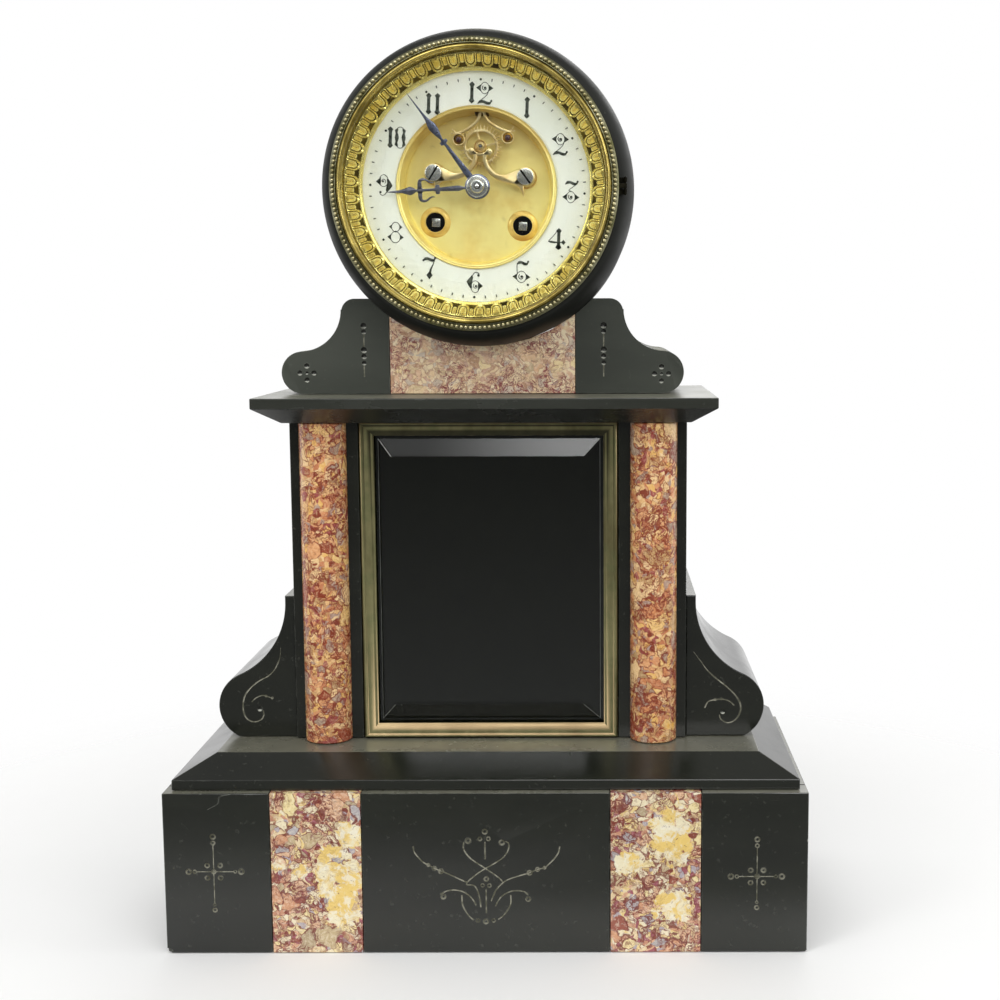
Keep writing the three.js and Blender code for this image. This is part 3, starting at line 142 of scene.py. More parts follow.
def smooth_path(points, steps=8):
    """A curve through the points, with its ends drawn on straight."""
    first = [2 * points[0][i] - points[1][i] for i in (0, 1)]
    last = [2 * points[-1][i] - points[-2][i] for i in (0, 1)]
    run = [first, *points, last]
    path = []
    for k in range(1, len(run) - 2):
        before, a, b, after = run[k - 1:k + 3]
        for step in range(steps):
            t = step / steps
            path.append(tuple(
                0.5 * (2 * a[i] + (b[i] - before[i]) * t
                       + (2 * before[i] - 5 * a[i] + 4 * b[i] - after[i]) * t * t
                       + (3 * a[i] - before[i] - 3 * b[i] + after[i]) * t ** 3)
                for i in (0, 1)))
    path.append(tuple(points[-1]))
    return path


def spread(values, count):
    """The values drawn out evenly over count places."""
    drawn = []
    for i in range(count):
        at = i / (count - 1) * (len(values) - 1)
        low = min(int(at), len(values) - 2)
        drawn.append(values[low] + (values[low + 1] - values[low]) * (at - low))
    return drawn


def ribbon(points, widths, steps=8):
    """The outline of a stroke through the points, as wide at each as widths says."""
    line = smooth_path(points, steps)
    across = spread(widths, len(line))
    left, right = [], []
    for i, (x, y) in enumerate(line):
        ax, ay = line[max(i - 1, 0)]
        bx, by = line[min(i + 1, len(line) - 1)]
        length = math.hypot(bx - ax, by - ay) or 1
        nx, ny = -(by - ay) / length, (bx - ax) / length
        half = across[i] / 2
        left.append((x + nx * half, y + ny * half))
        right.append((x - nx * half, y - ny * half))
    return left + right[::-1]


def depth_to_y(depth):
    return (depth - BASE_DEPTH / 2) * MM


# Meshes
def link(name, data):
    obj = bpy.data.objects.new(name, data)
    bpy.context.scene.collection.objects.link(obj)
    return obj


@contextmanager
def opened(mesh):
    """The mesh opened for changes, which are written back to it at the end."""
    work = bmesh.new()
    work.from_mesh(mesh)
    yield work
    work.to_mesh(mesh)
    work.free()


def shade(mesh, angle=SHARP):
    mesh.polygons.foreach_set("use_smooth", [True] * len(mesh.polygons))
    mesh.set_sharp_from_angle(angle=math.radians(angle))


def settled(obj):
    """The object with its modifiers or its curve turned into a plain mesh."""
    mesh = bpy.data.meshes.new_from_object(obj.evaluated_get(bpy.context.evaluated_depsgraph_get()))
    name = obj.name
    bpy.data.objects.remove(obj)
    return link(name, mesh)


def joined(name, *objs):
    """One object made of several, each with its own finishes kept."""
    mesh = bpy.data.meshes.new(name)
    finishes = []
    with opened(mesh) as whole:
        for obj in objs:
            for finish in obj.data.materials:
                if finish not in finishes:
                    finishes.append(finish)
            slots = [finishes.index(finish) for finish in obj.data.materials]
            start = len(whole.faces)
            whole.from_mesh(obj.data)
            whole.faces.ensure_lookup_table()
            for face in whole.faces[start:]:
                face.material_index = slots[face.material_index]
            bpy.data.objects.remove(obj)
    for finish in finishes:
        mesh.materials.append(finish)
    return link(name, mesh)


def mesh_of(name, vertices, faces, finish, angle=SHARP):
    """A mesh from corners in millimetres as (x, depth, z), with its faces turned out."""
    mesh = bpy.data.meshes.new(name)
    mesh.from_pydata([(x * MM, depth_to_y(depth), z * MM) for x, depth, z in vertices], [], faces)
    with opened(mesh) as work:
        bmesh.ops.recalc_face_normals(work, faces=work.faces)
    mesh.materials.append(finish)
    shade(mesh, angle)
    return link(name, mesh)


def lofted(name, rings, finish, closed=False, angle=SHARP):
    """A skin over rings of corners, led back to the first ring or shut at both ends."""
    around = len(rings[0])
    vertices = [corner for ring in rings for corner in ring]
    pairs = list(zip(range(len(rings)), range(1, len(rings)))) + ([(len(rings) - 1, 0)] if closed else [])
    faces = []
    for one, other in pairs:
        for i in range(around):
            after = (i + 1) % around
            faces.append((one * around + i, one * around + after, other * around + after, other * around + i))
    if not closed:
        faces += [tuple(range(around)), tuple(range(len(vertices) - around, len(vertices)))]
    return mesh_of(name, vertices, faces, finish, angle)


def rounded(profile, radius, steps=4):
    """A closed profile with its corners eased by small arcs."""
    eased_profile = []
    for i, corner in enumerate(profile):
        here = Vector(corner)
        back, ahead = Vector(profile[i - 1]) - here, Vector(profile[(i + 1) % len(profile)]) - here
        reach = min(radius, back.length * 0.45, ahead.length * 0.45)
        start, end = here + back.normalized() * reach, here + ahead.normalized() * reach
        for step in range(steps + 1):
            t = step / steps
            eased_profile.append(tuple((1 - t) ** 2 * start + 2 * t * (1 - t) * here + t * t * end))
    return eased_profile


def turned(name, profile, centre, finish, segments=ROUND, angle=SHARP):
    """A profile of [radius, depth] turned about an axis that runs front to back."""
    vertices, rings, faces = [], [], []
    for radius, depth in profile:
        if radius < 1e-6:
            rings.append([len(vertices)] * segments)
            vertices.append((centre[0], depth, centre[1]))
            continue
        rings.append(range(len(vertices), len(vertices) + segments))
        for i in range(segments):
            x, z = polar(centre, radius, 2 * math.pi * i / segments)
            vertices.append((x, depth, z))
    closed = profile[0][0] > 1e-6
    for one, other in list(zip(rings, rings[1:])) + ([(rings[-1], rings[0])] if closed else []):
        for i in range(segments):
            after = (i + 1) % segments
            face = list(dict.fromkeys([one[i], one[after], other[after], other[i]]))
            if len(face) > 2:
                faces.append(face)
    return mesh_of(name, vertices, faces, finish, angle)


def new_curve(name, dimensions, edge, sides):
    drawn = bpy.data.curves.new(name, "CURVE")
    drawn.dimensions = dimensions
    drawn.bevel_depth = edge * MM
    drawn.bevel_resolution = sides
    return drawn


def finished(obj, finish, angle, gap=WELD_GAP):
    """The object in one finish, with its doubled corners joined up and its faces turned out."""
    obj.data.materials.clear()
    obj.data.materials.append(finish)
    with opened(obj.data) as work:
        bmesh.ops.remove_doubles(work, verts=work.verts, dist=gap * MM)
        bmesh.ops.recalc_face_normals(work, faces=work.faces)
    shade(obj.data, angle)
    return obj


def plate(name, outlines, front, back, finish, edge=0.15):
    """A flat piece cut to the outlines in the plane of the dial, with softened edges."""
    drawn = new_curve(name, "2D", edge, 2)
    drawn.fill_mode = "BOTH"
    drawn.extrude = ((back - front) / 2 - edge) * MM
    drawn.offset = -edge * MM
    for outline in outlines:
        spline = drawn.splines.new("POLY")
        spline.points.add(len(outline) - 1)
        for point, (x, z) in zip(spline.points, outline):
            point.co = (x * MM, z * MM, 0, 1)
        spline.use_cyclic_u = True
    obj = settled(link(name, drawn))
    stand = Matrix.Rotation(math.pi / 2, 4, "X")
    obj.data.transform(Matrix.Translation((0, depth_to_y((front + back) / 2), 0)) @ stand)
    return finished(obj, finish, SHARP, COARSE_WELD_GAP)


def prism(name, outline, front, back, finish, edge):
    """A closed block with one outline from front to back and its edges eased."""
    least = 0.02
    corners = [outline[0]]
    for point in outline[1:]:
        if math.dist(point, corners[-1]) > least and math.dist(point, corners[0]) > least:
            corners.append(point)
    count = len(corners)
    vertices = [(x, depth, z) for depth in (front, back) for x, z in corners]
    faces = [list(range(count)), list(range(2 * count - 1, count - 1, -1))]
    faces += [[i, (i + 1) % count, (i + 1) % count + count, i + count] for i in range(count)]
    return eased(mesh_of(name, vertices, faces, finish), edge, 2, SHARP)


def tube(name, points, radius, finish, sides=3, taper=None):
    """A round rod or groove along points given as (x, depth, z)."""
    drawn = new_curve(name, "3D", radius, sides)
    drawn.use_fill_caps = True
    spline = drawn.splines.new("POLY")
    spline.points.add(len(points) - 1)
    widths = spread(taper or [1, 1], len(points))
    for point, (x, depth, z), width in zip(spline.points, points, widths):
        point.co = (x * MM, depth_to_y(depth), z * MM, 1)
        point.radius = width
    return finished(settled(link(name, drawn)), finish, 50)


def box(name, left, right, front, back, bottom, top, finish, edge=0.3):
    corners = [(x, depth, z) for x in (left, right) for depth in (front, back) for z in (bottom, top)]
    faces = [(0, 1, 3, 2), (4, 6, 7, 5), (0, 4, 5, 1), (2, 3, 7, 6), (0, 2, 6, 4), (1, 5, 7, 3)]
    return eased(mesh_of(name, corners, faces, finish), edge)


def eased(obj, width, segments=2, angle=35):
    """The object with its edges eased, and its flat faces kept flat."""
    bevel = obj.modifiers.new("eased edges", "BEVEL")
    bevel.width = width * MM
    bevel.segments = segments
    bevel.limit_method = "ANGLE"
    bevel.angle_limit = math.radians(angle)
    bevel.harden_normals = False
    done = settled(obj)
    shade(done.data, angle)
    return flattened(done)


def flattened(obj):
    """The object shaded so that its large faces stay flat up to their edges."""
    flat = obj.modifiers.new("flat faces", "WEIGHTED_NORMAL")
    flat.keep_sharp = True
    flat.weight = 100
    return settled(obj)


def softened(node, finish, width=0.3, name=None, angle=35):
    """A copy of a CAD node with its faces joined up again and its edges eased. It stands for the node."""
    mesh = frame["nodes"][node].data.copy()
    with opened(mesh) as work:
        bmesh.ops.remove_doubles(work, verts=work.verts, dist=COARSE_WELD_GAP * MM)
        bmesh.ops.dissolve_limit(work, angle_limit=math.radians(0.5), verts=work.verts, edges=work.edges)
    mesh.materials.clear()
    mesh.materials.append(finish)
    return eased(link(name or node + "_finished", mesh), width, angle=angle)


def carved(obj, cutters, angle=30):
    """The object with the cutters taken out of it, one finish after another. A cut face keeps its cutter's finish.

    At a small angle the object is curved in front: its faces are split first, and only those that face front or
    back stay flat.
    """
    curved = angle < 20
    if curved:
        with opened(obj.data) as work:
            bmesh.ops.triangulate(work, faces=work.faces)
    by_finish = {}
    for cutter in cutters:
        by_finish.setdefault(cutter.data.materials[0].name, []).append(cutter)
    collections = []
    for finish, group in by_finish.items():
        tools = bpy.data.collections.new(f"{obj.name} {finish} cutters")
        collections.append(tools)
        for cutter in group:
            tools.objects.link(cutter)
        cut = obj.modifiers.new("carving", "BOOLEAN")
        cut.operation = "DIFFERENCE"
        cut.operand_type = "COLLECTION"
        cut.collection = tools
        cut.solver = "EXACT"
        cut.material_mode = "TRANSFER"
    done = settled(obj)
    for cutter in cutters:
        bpy.data.objects.remove(cutter)
    for tools in collections:
        bpy.data.collections.remove(tools)
    shade(done.data, angle)
    if not curved:
        return flattened(done)
    for face in done.data.polygons:
        if abs(face.normal.y) > 0.9999:
            face.use_smooth = False
    return done


def stands_for(obj, body, slot, *nodes):
    """The piece rides on a body and is shown instead of the CAD nodes. The slot is not used."""
    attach(obj, body)
    if nodes:
        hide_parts(*nodes)


def slab(node, name, width, finish, slot="slate", angle=35):
    """A stone of the case: the CAD node with its edges eased."""
    stands_for(softened(node, finish, width, name, angle), "case", slot, node)


# Node trees
def shade_of(text):
    """A written colour as the linear values that a shader takes."""
    values = [int(text[i:i + 2], 16) / 255 for i in (1, 3, 5)]
    return [v / 12.92 if v <= 0.04045 else ((v + 0.055) / 1.055) ** 2.4 for v in values] + [1]


def add(tree, kind, feeds=None, **settings):
    """A new node. A feed is a plain value, or the socket of another node."""
    node = tree.nodes.new("ShaderNode" + kind)
    for key, value in settings.items():
        setattr(node, key, value)
    for socket, value in (feeds or {}).items():
        if isinstance(value, bpy.types.NodeSocket):
            tree.links.new(value, node.inputs[socket])
        else:
            node.inputs[socket].default_value = value
    return node


def times(tree, a, b, operation="MULTIPLY", clamp=True):
    """One value times the other, or another sum of the two."""
    return add(tree, "Math", {0: a, 1: b}, operation=operation, use_clamp=clamp).outputs[0]


def blended(tree, share, a, b, mode="MIX"):
    """Colour a with a share of colour b laid over it. Either may be written as text."""
    a, b = (shade_of(colour) if isinstance(colour, str) else colour for colour in (a, b))
    return add(tree, "Mix", {0: share, 6: a, 7: b}, data_type="RGBA", blend_type=mode).outputs[2]


def layered(tree, colour, *layers):
    """The colour with others laid over it in turn, each given as its mask, its strength and the colour."""
    for mask, strength, over in layers:
        colour = blended(tree, times(tree, mask, strength) if strength < 1 else mask, colour, over)
    return colour


def blended_value(tree, share, a, b):
    return add(tree, "Mix", {0: share, 2: a, 3: b}, data_type="FLOAT").outputs[0]


def ramped(tree, value, stops):
    """The colour of the step that the value falls on."""
    node = add(tree, "ValToRGB", {0: value})
    ramp = node.color_ramp
    ramp.interpolation = "CONSTANT"
    while len(ramp.elements) < len(stops):
        ramp.elements.new(0.5)
    for element, (place, colour) in zip(ramp.elements, stops):
        element.position = place
        element.color = shade_of(colour)
    return node.outputs[0]


def mapped(tree, value, low, high, to_low=0, to_high=1):
    return add(tree, "MapRange", {0: value, 1: low, 2: high, 3: to_low, 4: to_high},
               interpolation_type="SMOOTHSTEP").outputs[0]


def combined(tree, operation, a, b=(0, 0, 0)):
    """Two places or directions combined into a third one, or into a plain value."""
    node = add(tree, "VectorMath", {0: a, 1: b}, operation=operation)
    return node.outputs["Value" if operation in ("LENGTH", "DOT_PRODUCT") else "Vector"]


def part_of(tree, place, axis):
    return add(tree, "SeparateXYZ", {0: place}).outputs[axis]


def noise_at(tree, place, scale, detail, rough=0.5):
    return add(tree, "TexNoise", {"Vector": place, "Scale": scale, "Detail": detail, "Roughness": rough}).outputs[0]


def surface_normal(tree):
    return add(tree, "NewGeometry").outputs["Normal"]


def place_on_piece(tree):
    return add(tree, "TexCoord").outputs["Object"]


def new_effect(name, output, **inputs):
    """An effect that several finishes share, with its named inputs and its one output."""
    tree = bpy.data.node_groups.new(name, "ShaderNodeTree")
    tree.interface.new_socket(name=output, in_out="OUTPUT", socket_type="NodeSocketFloat")
    for label, value in inputs.items():
        kind = "NodeSocketVector" if isinstance(value, tuple) else "NodeSocketFloat"
        tree.interface.new_socket(name=label, in_out="INPUT", socket_type=kind).default_value = value
    return tree, tree.nodes.new("NodeGroupInput").outputs


def put_out(tree, value):
    """The effect, finished by what it gives out."""
    tree.links.new(value, tree.nodes.new("NodeGroupOutput").inputs[0])
    return tree


def cloud_effect():
    """Soft patches: a mask from noise, with how much of the surface they take."""
    tree, given = new_effect("cloudy patches", "Mask", Scale=40, Detail=5, Share=0.5, Softness=0.2,
                             Stretch=(1, 1, 1))
    stretched = combined(tree, "MULTIPLY", place_on_piece(tree), given["Stretch"])
    cloud = noise_at(tree, stretched, given["Scale"], given["Detail"], 0.6)
    level = times(tree, 0.72, times(tree, given["Share"], 0.44), "SUBTRACT")
    low, high = (times(tree, level, given["Softness"], side, False) for side in ("SUBTRACT", "ADD"))
    return put_out(tree, mapped(tree, cloud, low, high))


def facing_up_effect():
    """A mask of the surfaces that face up: none at the low slope, all of them at the high one."""
    tree, given = new_effect("facing up", "Mask", Low=0, High=1)
    up = part_of(tree, surface_normal(tree), 2)
    return put_out(tree, mapped(tree, up, given["Low"], given["High"]))


def dust_effect():
    """Dust that lies where the surface faces straight up, thinner in patches."""
    tree, given = new_effect("dust on top", "Mask", Amount=0.6, Scale=60)
    level = mapped(tree, part_of(tree, surface_normal(tree), 2), 0.93, 0.995)
    grains = noise_at(tree, place_on_piece(tree), given["Scale"], 8, 0.7)
    patchy = mapped(tree, grains, 0.3, 0.62, 0.45, 1)
    return put_out(tree, times(tree, times(tree, level, patchy), given["Amount"]))


def wear_effect():
    """Wear along edges, broken up by noise."""
    tree, given = new_effect("edge wear", "Mask", Width=0.0006, Amount=0.7, Scale=160)
    soft = add(tree, "Bevel", {"Radius": given["Width"]}, samples=4).outputs[0]
    alike = combined(tree, "DOT_PRODUCT", soft, surface_normal(tree))
    edge = mapped(tree, times(tree, 1, alike, "SUBTRACT"), 0.02, 0.16)
    broken = mapped(tree, noise_at(tree, place_on_piece(tree), given["Scale"], 6), 0.42, 0.62)
    return put_out(tree, times(tree, times(tree, edge, broken), given["Amount"]))


def turning_effect():
    """Fine rings left by the lathe, round an axis that runs front to back."""
    tree, given = new_effect("turning marks", "Height", Centre=(0, 0, 0), Density=2500)
    off = combined(tree, "SUBTRACT", place_on_piece(tree), given["Centre"])
    radius = combined(tree, "LENGTH", combined(tree, "MULTIPLY", off, (1, 0, 1)))
    along = times(tree, radius, given["Density"], clamp=False)
    rings = add(tree, "TexNoise", {"W": along, "Scale": 1, "Detail": 3}, noise_dimensions="1D")
    return put_out(tree, rings.outputs[0])


def scratch_effect():
    """Long fine scratches, a few of them, in one direction."""
    tree, given = new_effect("fine scratches", "Mask", Scale=90, Tilt=0.3, Share=0.3)
    tilted_place = add(tree, "VectorRotate", {"Vector": place_on_piece(tree), "Angle": given["Tilt"],
                                              "Axis": (0, 1, 0)}).outputs[0]
    lines = noise_at(tree, combined(tree, "MULTIPLY", tilted_place, (1, 1, 26)), given["Scale"], 2)
    low = times(tree, 0.8, times(tree, given["Share"], 0.2), "SUBTRACT")
    return put_out(tree, mapped(tree, lines, low, 0.82))


def speck_effect():
    """Lint and pin pricks: small round specks, far apart and each of its own strength."""
    tree, given = new_effect("bright specks", "Mask", Scale=90, Size=0.03, Share=0.3)
    cells = add(tree, "TexVoronoi", {"Vector": place_on_piece(tree), "Scale": given["Scale"]}).outputs
    picked = add(tree, "SeparateColor", {0: cells["Color"]}).outputs
    dot = times(tree, cells["Distance"], given["Size"], "LESS_THAN")
    kept = times(tree, picked[0], given["Share"], "LESS_THAN")
    return put_out(tree, times(tree, times(tree, dot, kept), mapped(tree, picked[1], 0, 1, 0.25, 1)))


EFFECTS = {"cloud": cloud_effect(), "facing up": facing_up_effect(), "dust": dust_effect(), "wear": wear_effect(),
           "turning": turning_effect(), "scratches": scratch_effect(), "specks": speck_effect()}


def effect(tree, name, **values):
    return add(tree, "Group", values, node_tree=EFFECTS[name]).outputs[0]


def clouds(tree, scale, share, softness, stretch=(1, 1, 1)):
    return effect(tree, "cloud", Scale=scale, Share=share, Softness=softness, Stretch=stretch)


def facing_up(tree, low, high):
    return effect(tree, "facing up", Low=low, High=high)


def new_finish(name, **plain):
    """A material with its shader. Plain values sit on the shader's own sockets."""
    material = bpy.data.materials.new(name)
    material.use_nodes = True
    shader = material.node_tree.nodes["Principled BSDF"]
    for label, value in plain.items():
        shader.inputs[label.replace("_", " ")].default_value = value
    return material, material.node_tree, shader


def feed(tree, shader, colour, roughness=None, height=None, strength=0.2, distance=0.0001):
    """The shader's colour, with its roughness and the height of its fine relief if there are any."""
    tree.links.new(colour, shader.inputs["Base Color"])
    if roughness is not None:
        tree.links.new(roughness, shader.inputs["Roughness"])
    if height is not None:
        bump = add(tree, "Bump", {"Height": height, "Strength": strength, "Distance": distance})
        tree.links.new(bump.outputs[0], shader.inputs["Normal"])


def grained(tree, shader, colour, roughness, scale=900, detail=3, strength=0.12, distance=0.00004):
    """A metal's shader, with a fine grain as its relief."""
    feed(tree, shader, colour, roughness, noise_at(tree, place_on_piece(tree), scale, detail), strength, distance)


def slate_finish(name="polished slate", dust=0.2, gloss=0.11, first="#131510", second="#1e2019", shine=0.65):
    """Slate with a grain, scratches and specks, worn along its edges, dusty above, and with painted shade on the faces
    that look down.
    """
    material, tree, shader = new_finish(name, Specular_IOR_Level=shine)
    worn = effect(tree, "wear", Width=0.0007, Amount=0.55)
    dusty = times(tree, effect(tree, "dust", Amount=dust), times(tree, facing_up(tree, 0.9, 0.99), 0.22), "ADD")
    # The last layer is painted shade: faces that look down are darkened to near black.
    stone = layered(tree, first, (clouds(tree, 9, 0.5, 0.25, (1, 1, 3)), 1, second),
                    (clouds(tree, 420, 0.12, 0.03), 0.14, "#6b6d64"),
                    (effect(tree, "scratches", Scale=70, Tilt=0.06, Share=0.25), 0.16, "#5d5f58"),
                    (effect(tree, "specks", Scale=95, Size=0.028, Share=0.22), 0.6, "#a5a89e"),
                    (worn, 1, "#7f8178"), (dusty, 1, "#a4a390"), (facing_up(tree, -0.2, -0.5), 0.75, "#10110d"))
    smears = clouds(tree, 28, 0.5, 0.3, (1, 1, 2.4))
    rough = mapped(tree, smears, 0, 1, gloss, gloss + 0.12)
    rough = times(tree, rough, times(tree, dusty, 0.25), "ADD")
    rough = times(tree, rough, times(tree, worn, 0.3), "ADD")
    feed(tree, shader, stone, rough, smears, 0.04, 0.0003)
    return material


def patchy_finish(name, first, second, patches, rough=None, bump=None, specks=(), **plain):
    """Two colours in soft patches, which also set how rough the surface is and how high it stands."""
    material, tree, shader = new_finish(name, **plain)
    mask = clouds(tree, *patches)
    colour = layered(tree, first, (mask, 1, second),
                     *((clouds(tree, *size), share, tint) for size, share, tint in specks))
    feed(tree, shader, colour, mapped(tree, mask, 0, 1, *rough) if rough else None, mask if bump else None,
         *(bump or ()))
    return material


CRUSHED = [(0, "#8e4a3c"), (0.1, "#cf9678"), (0.22, "#efd6aa"), (0.38, "#e0ae8c"), (0.5, "#f6e8c8"),
           (0.62, "#a8616a"), (0.7, "#b9aeb4"), (0.78, "#d8b98e"), (0.88, "#f1d592")]
PALE_CRUSHED = [(0, "#a8655a"), (0.1, "#dcae94"), (0.25, "#f4e2be"), (0.45, "#ead0a8"), (0.6, "#f8ecd0"),
                (0.72, "#c08a86"), (0.79, "#bdb6ba"), (0.87, "#e6c8a0")]
WHOLE_STONES = [(0, "#f6e2a8"), (0.16, "#cdb78f"), (0.27, "#b1aaab"), (0.36, "#e8bd98"), (0.48, "#a25b49"),
                (0.55, "#f8eac6"), (0.72, "#bda988"), (0.81, "#bdb7b8"), (0.88, "#dba27c")]


def bent_place(tree, place):
    """The place, bent in broad waves and then in small ones."""
    for scale, detail, reach in ((75, 2, 0.009), (300, 3, 0.0032)):
        drift = add(tree, "TexNoise", {"Vector": place, "Scale": scale, "Detail": detail, "Roughness": 0.55})
        centred = combined(tree, "SUBTRACT", drift.outputs["Color"], (0.5, 0.5, 0.5))
        small = add(tree, "VectorMath", {0: centred, "Scale": reach}, operation="SCALE").outputs[0]
        place = combined(tree, "ADD", place, small)
    return place


def stones(tree, place, scale, squeeze=(1, 1, 1)):
    """Broken stones: two values of each one's own, and how far its rim is."""
    feeds = {"Vector": combined(tree, "MULTIPLY", place, squeeze), "Scale": scale}
    picked = add(tree, "SeparateColor", {0: add(tree, "TexVoronoi", feeds).outputs["Color"]})
    rim = add(tree, "TexVoronoi", feeds, feature="DISTANCE_TO_EDGE").outputs["Distance"]
    return picked.outputs[0], picked.outputs[1], rim


def curls(tree, place, scale, width, distortion):
    """Curling lines, where a noise passes through its middle value."""
    field = add(tree, "TexNoise", {"Vector": place, "Scale": scale, "Detail": 2, "Distortion": distortion}).outputs[0]
    off = add(tree, "Math", {0: times(tree, field, 0.5, "SUBTRACT", False)}, operation="ABSOLUTE").outputs[0]
    return mapped(tree, off, width * 0.35, width, 1, 0)


def marble_finish(name, seed=(0, 0, 0), whole_share=0.4, vein="#7a352b", crushed=CRUSHED, cream=0, pale_patches=(),
                  tone="#ffffff"):
    """Broken stones of cream, ochre, pink and lilac, each with a dark rim, in a crushed mass of curling veins."""
    material, tree, shader = new_finish(name, Coat_Weight=0.15, Coat_Roughness=0.1)
    here = place_on_piece(tree)
    bent = bent_place(tree, combined(tree, "ADD", here, seed))

    def noise_of(scale, detail=4, rough=0.6):
        return noise_at(tree, bent, scale, detail, rough)

    speckle = noise_of(620, 4, 0.7)
    light_specks, dark_specks = mapped(tree, speckle, 0.48, 0.66), mapped(tree, speckle, 0.46, 0.34)

    def rimmed(colour, scale, squeeze, share, thin, thick):
        """Whole stones laid over the colour, each with a dark rim of uneven width."""
        pick, sort, edge = stones(tree, bent, scale, squeeze)
        uneven = mapped(tree, noise_of(160, 3), 0.35, 0.68, thin, thick)
        rim = mapped(tree, times(tree, edge, uneven, "SUBTRACT", False), -0.012, 0.012, 1, 0)
        inside = layered(tree, ramped(tree, pick, WHOLE_STONES), (light_specks, 0.4, "#fbf1d8"),
                         (dark_specks, 0.35, "#8a5a4c"), (rim, 0.85, vein))
        return blended(tree, times(tree, sort, share, "LESS_THAN"), colour, inside)

    pick, _, edge = stones(tree, bent, 430)
    tiny_rim = times(tree, mapped(tree, edge, 0.02, 0.09, 1, 0), mapped(tree, noise_of(110, 3), 0.45, 0.6))
    colour = layered(tree, ramped(tree, pick, crushed), (tiny_rim, 0.85, vein),
                     (mapped(tree, speckle, 0.5, 0.64), 0.35, "#fbf0d6"))
    colour = rimmed(colour, 215, (1, 1, 1.25), whole_share, 0.01, 0.14)
    colour = rimmed(colour, 105, (1.15, 1, 1), whole_share * 0.45, 0.0, 0.07)
    pale = clouds(tree, 34, 0.16, 0.02)
    for centre, reach in pale_patches:
        off = combined(tree, "SUBTRACT", here, [c * MM for c in centre])
        length = combined(tree, "LENGTH", combined(tree, "MULTIPLY", off, [1 / (r * MM) for r in reach]))
        ragged = times(tree, length, times(tree, noise_of(90, 6, 0.7), 2.2, clamp=False), "ADD", False)
        pale = times(tree, pale, mapped(tree, ragged, 2.03, 1.97), "MAXIMUM")
    pale_stone = layered(tree, "#f4d37c", (mapped(tree, noise_of(110), 0.47, 0.6), 1, "#f9eecb"),
                         (mapped(tree, noise_of(260), 0.52, 0.58), 0.7, "#fcf6e2"))
    islands = mapped(tree, noise_of(150, 3), 0.6, 0.64, 1, 0)
    colour = blended(tree, times(tree, pale, islands), colour, pale_stone)
    if cream:
        colour = blended(tree, cream, colour, "#fce0b2")
    tangle = times(tree, mapped(tree, noise_of(60, 2), 0.4, 0.55), blended_value(tree, pale, 1, 0.2))
    for scale, width, distortion, strength, line in ((250, 0.055, 1.4, 0.9, vein), (480, 0.05, 1.2, 0.6, "#84484a")):
        share = times(tree, curls(tree, bent, scale, width, distortion), times(tree, tangle, strength))
        colour = blended(tree, share, colour, line)
    colour = layered(tree, colour, (mapped(tree, noise_of(760, 3), 0.64, 0.68), 0.6, "#6a3a34"))
    colour = blended(tree, 1, colour, tone, "MULTIPLY")
    feed(tree, shader, colour, mapped(tree, speckle, 0.3, 0.7, 0.2, 0.34), speckle, 0.05, 0.0002)
    return material


def metal_finish(name, clean, dull, share=0.4, scale=60, rough=(0.22, 0.4), wear=None, marks=None, metal=1.0,
                 marks_height=0.00002):
    """Metal with duller patches, wear along its edges and, where it was turned, fine rings."""
    material, tree, shader = new_finish(name, Metallic=metal)
    patches = clouds(tree, scale, share, 0.15)
    colour = layered(tree, clean, (patches, 1, dull), (clouds(tree, scale * 9, 0.1, 0.04), 0.25, dull))
    roughness = mapped(tree, patches, 0, 1, *rough)
    if wear:
        colour = blended(tree, effect(tree, "wear", Width=0.0004, Amount=0.6, Scale=400), colour, wear)
    if marks:
        rings = effect(tree, "turning", Centre=(marks[0] * MM, 0, marks[1] * MM), Density=3200)
        feed(tree, shader, colour, roughness, rings, 0.35, marks_height)
    else:
        grained(tree, shader, colour, roughness)
    return material


def window_brass_finish():
    """Olive brass, with painted shade where it faces down and painted light, a dull tan, where it faces up."""
    material, tree, shader = new_finish("aged brass", Metallic=0.75)
    patches = clouds(tree, 45, 0.5, 0.2, (1, 1, 0.4))
    # Painted light and shade: faces that look up are lightened to tan, and faces that look down are darkened to near
    # black.
    colour = layered(tree, "#9c976c", (patches, 1, "#645e3f"), (clouds(tree, 90, 0.3, 0.15), 0.5, "#5d6a45"),
                     (facing_up(tree, 0.08, 0.3), 0.85, "#a8906c"), (facing_up(tree, -0.1, -0.3), 0.85, "#17170f"),
                     (effect(tree, "wear", Width=0.0004, Amount=0.5, Scale=400), 1, "#b5ab78"))
    grained(tree, shader, colour, mapped(tree, patches, 0, 1, 0.36, 0.5))
    return material


def dish_finish():
    """Satin gilding, with painted shade under the rim at the top, and stained round the middle."""
    material, tree, shader = new_finish("satin gilt", Metallic=0.5)
    patches = clouds(tree, 55, 0.22, 0.2)
    here = place_on_piece(tree)
    uneven = times(tree, noise_at(tree, here, 70, 4), 0.02, clamp=False)
    # Painted shade: the gilding browns towards the top, under the rim.
    shadowed = mapped(tree, times(tree, part_of(tree, here, 2), uneven, "ADD", False), (DIAL[1] + 8) * MM,
                      (DIAL[1] + 42) * MM)
    colour = layered(tree, "#fdee9c", (patches, 1, "#e6c973"), (shadowed, 0.5, "#b08434"),
                     (clouds(tree, 150, 0.12, 0.08), 0.35, "#8a6a34"))
    grained(tree, shader, colour, mapped(tree, patches, 0, 1, 0.38, 0.48), 1500, 2, 0.15, 0.00003)
    return material


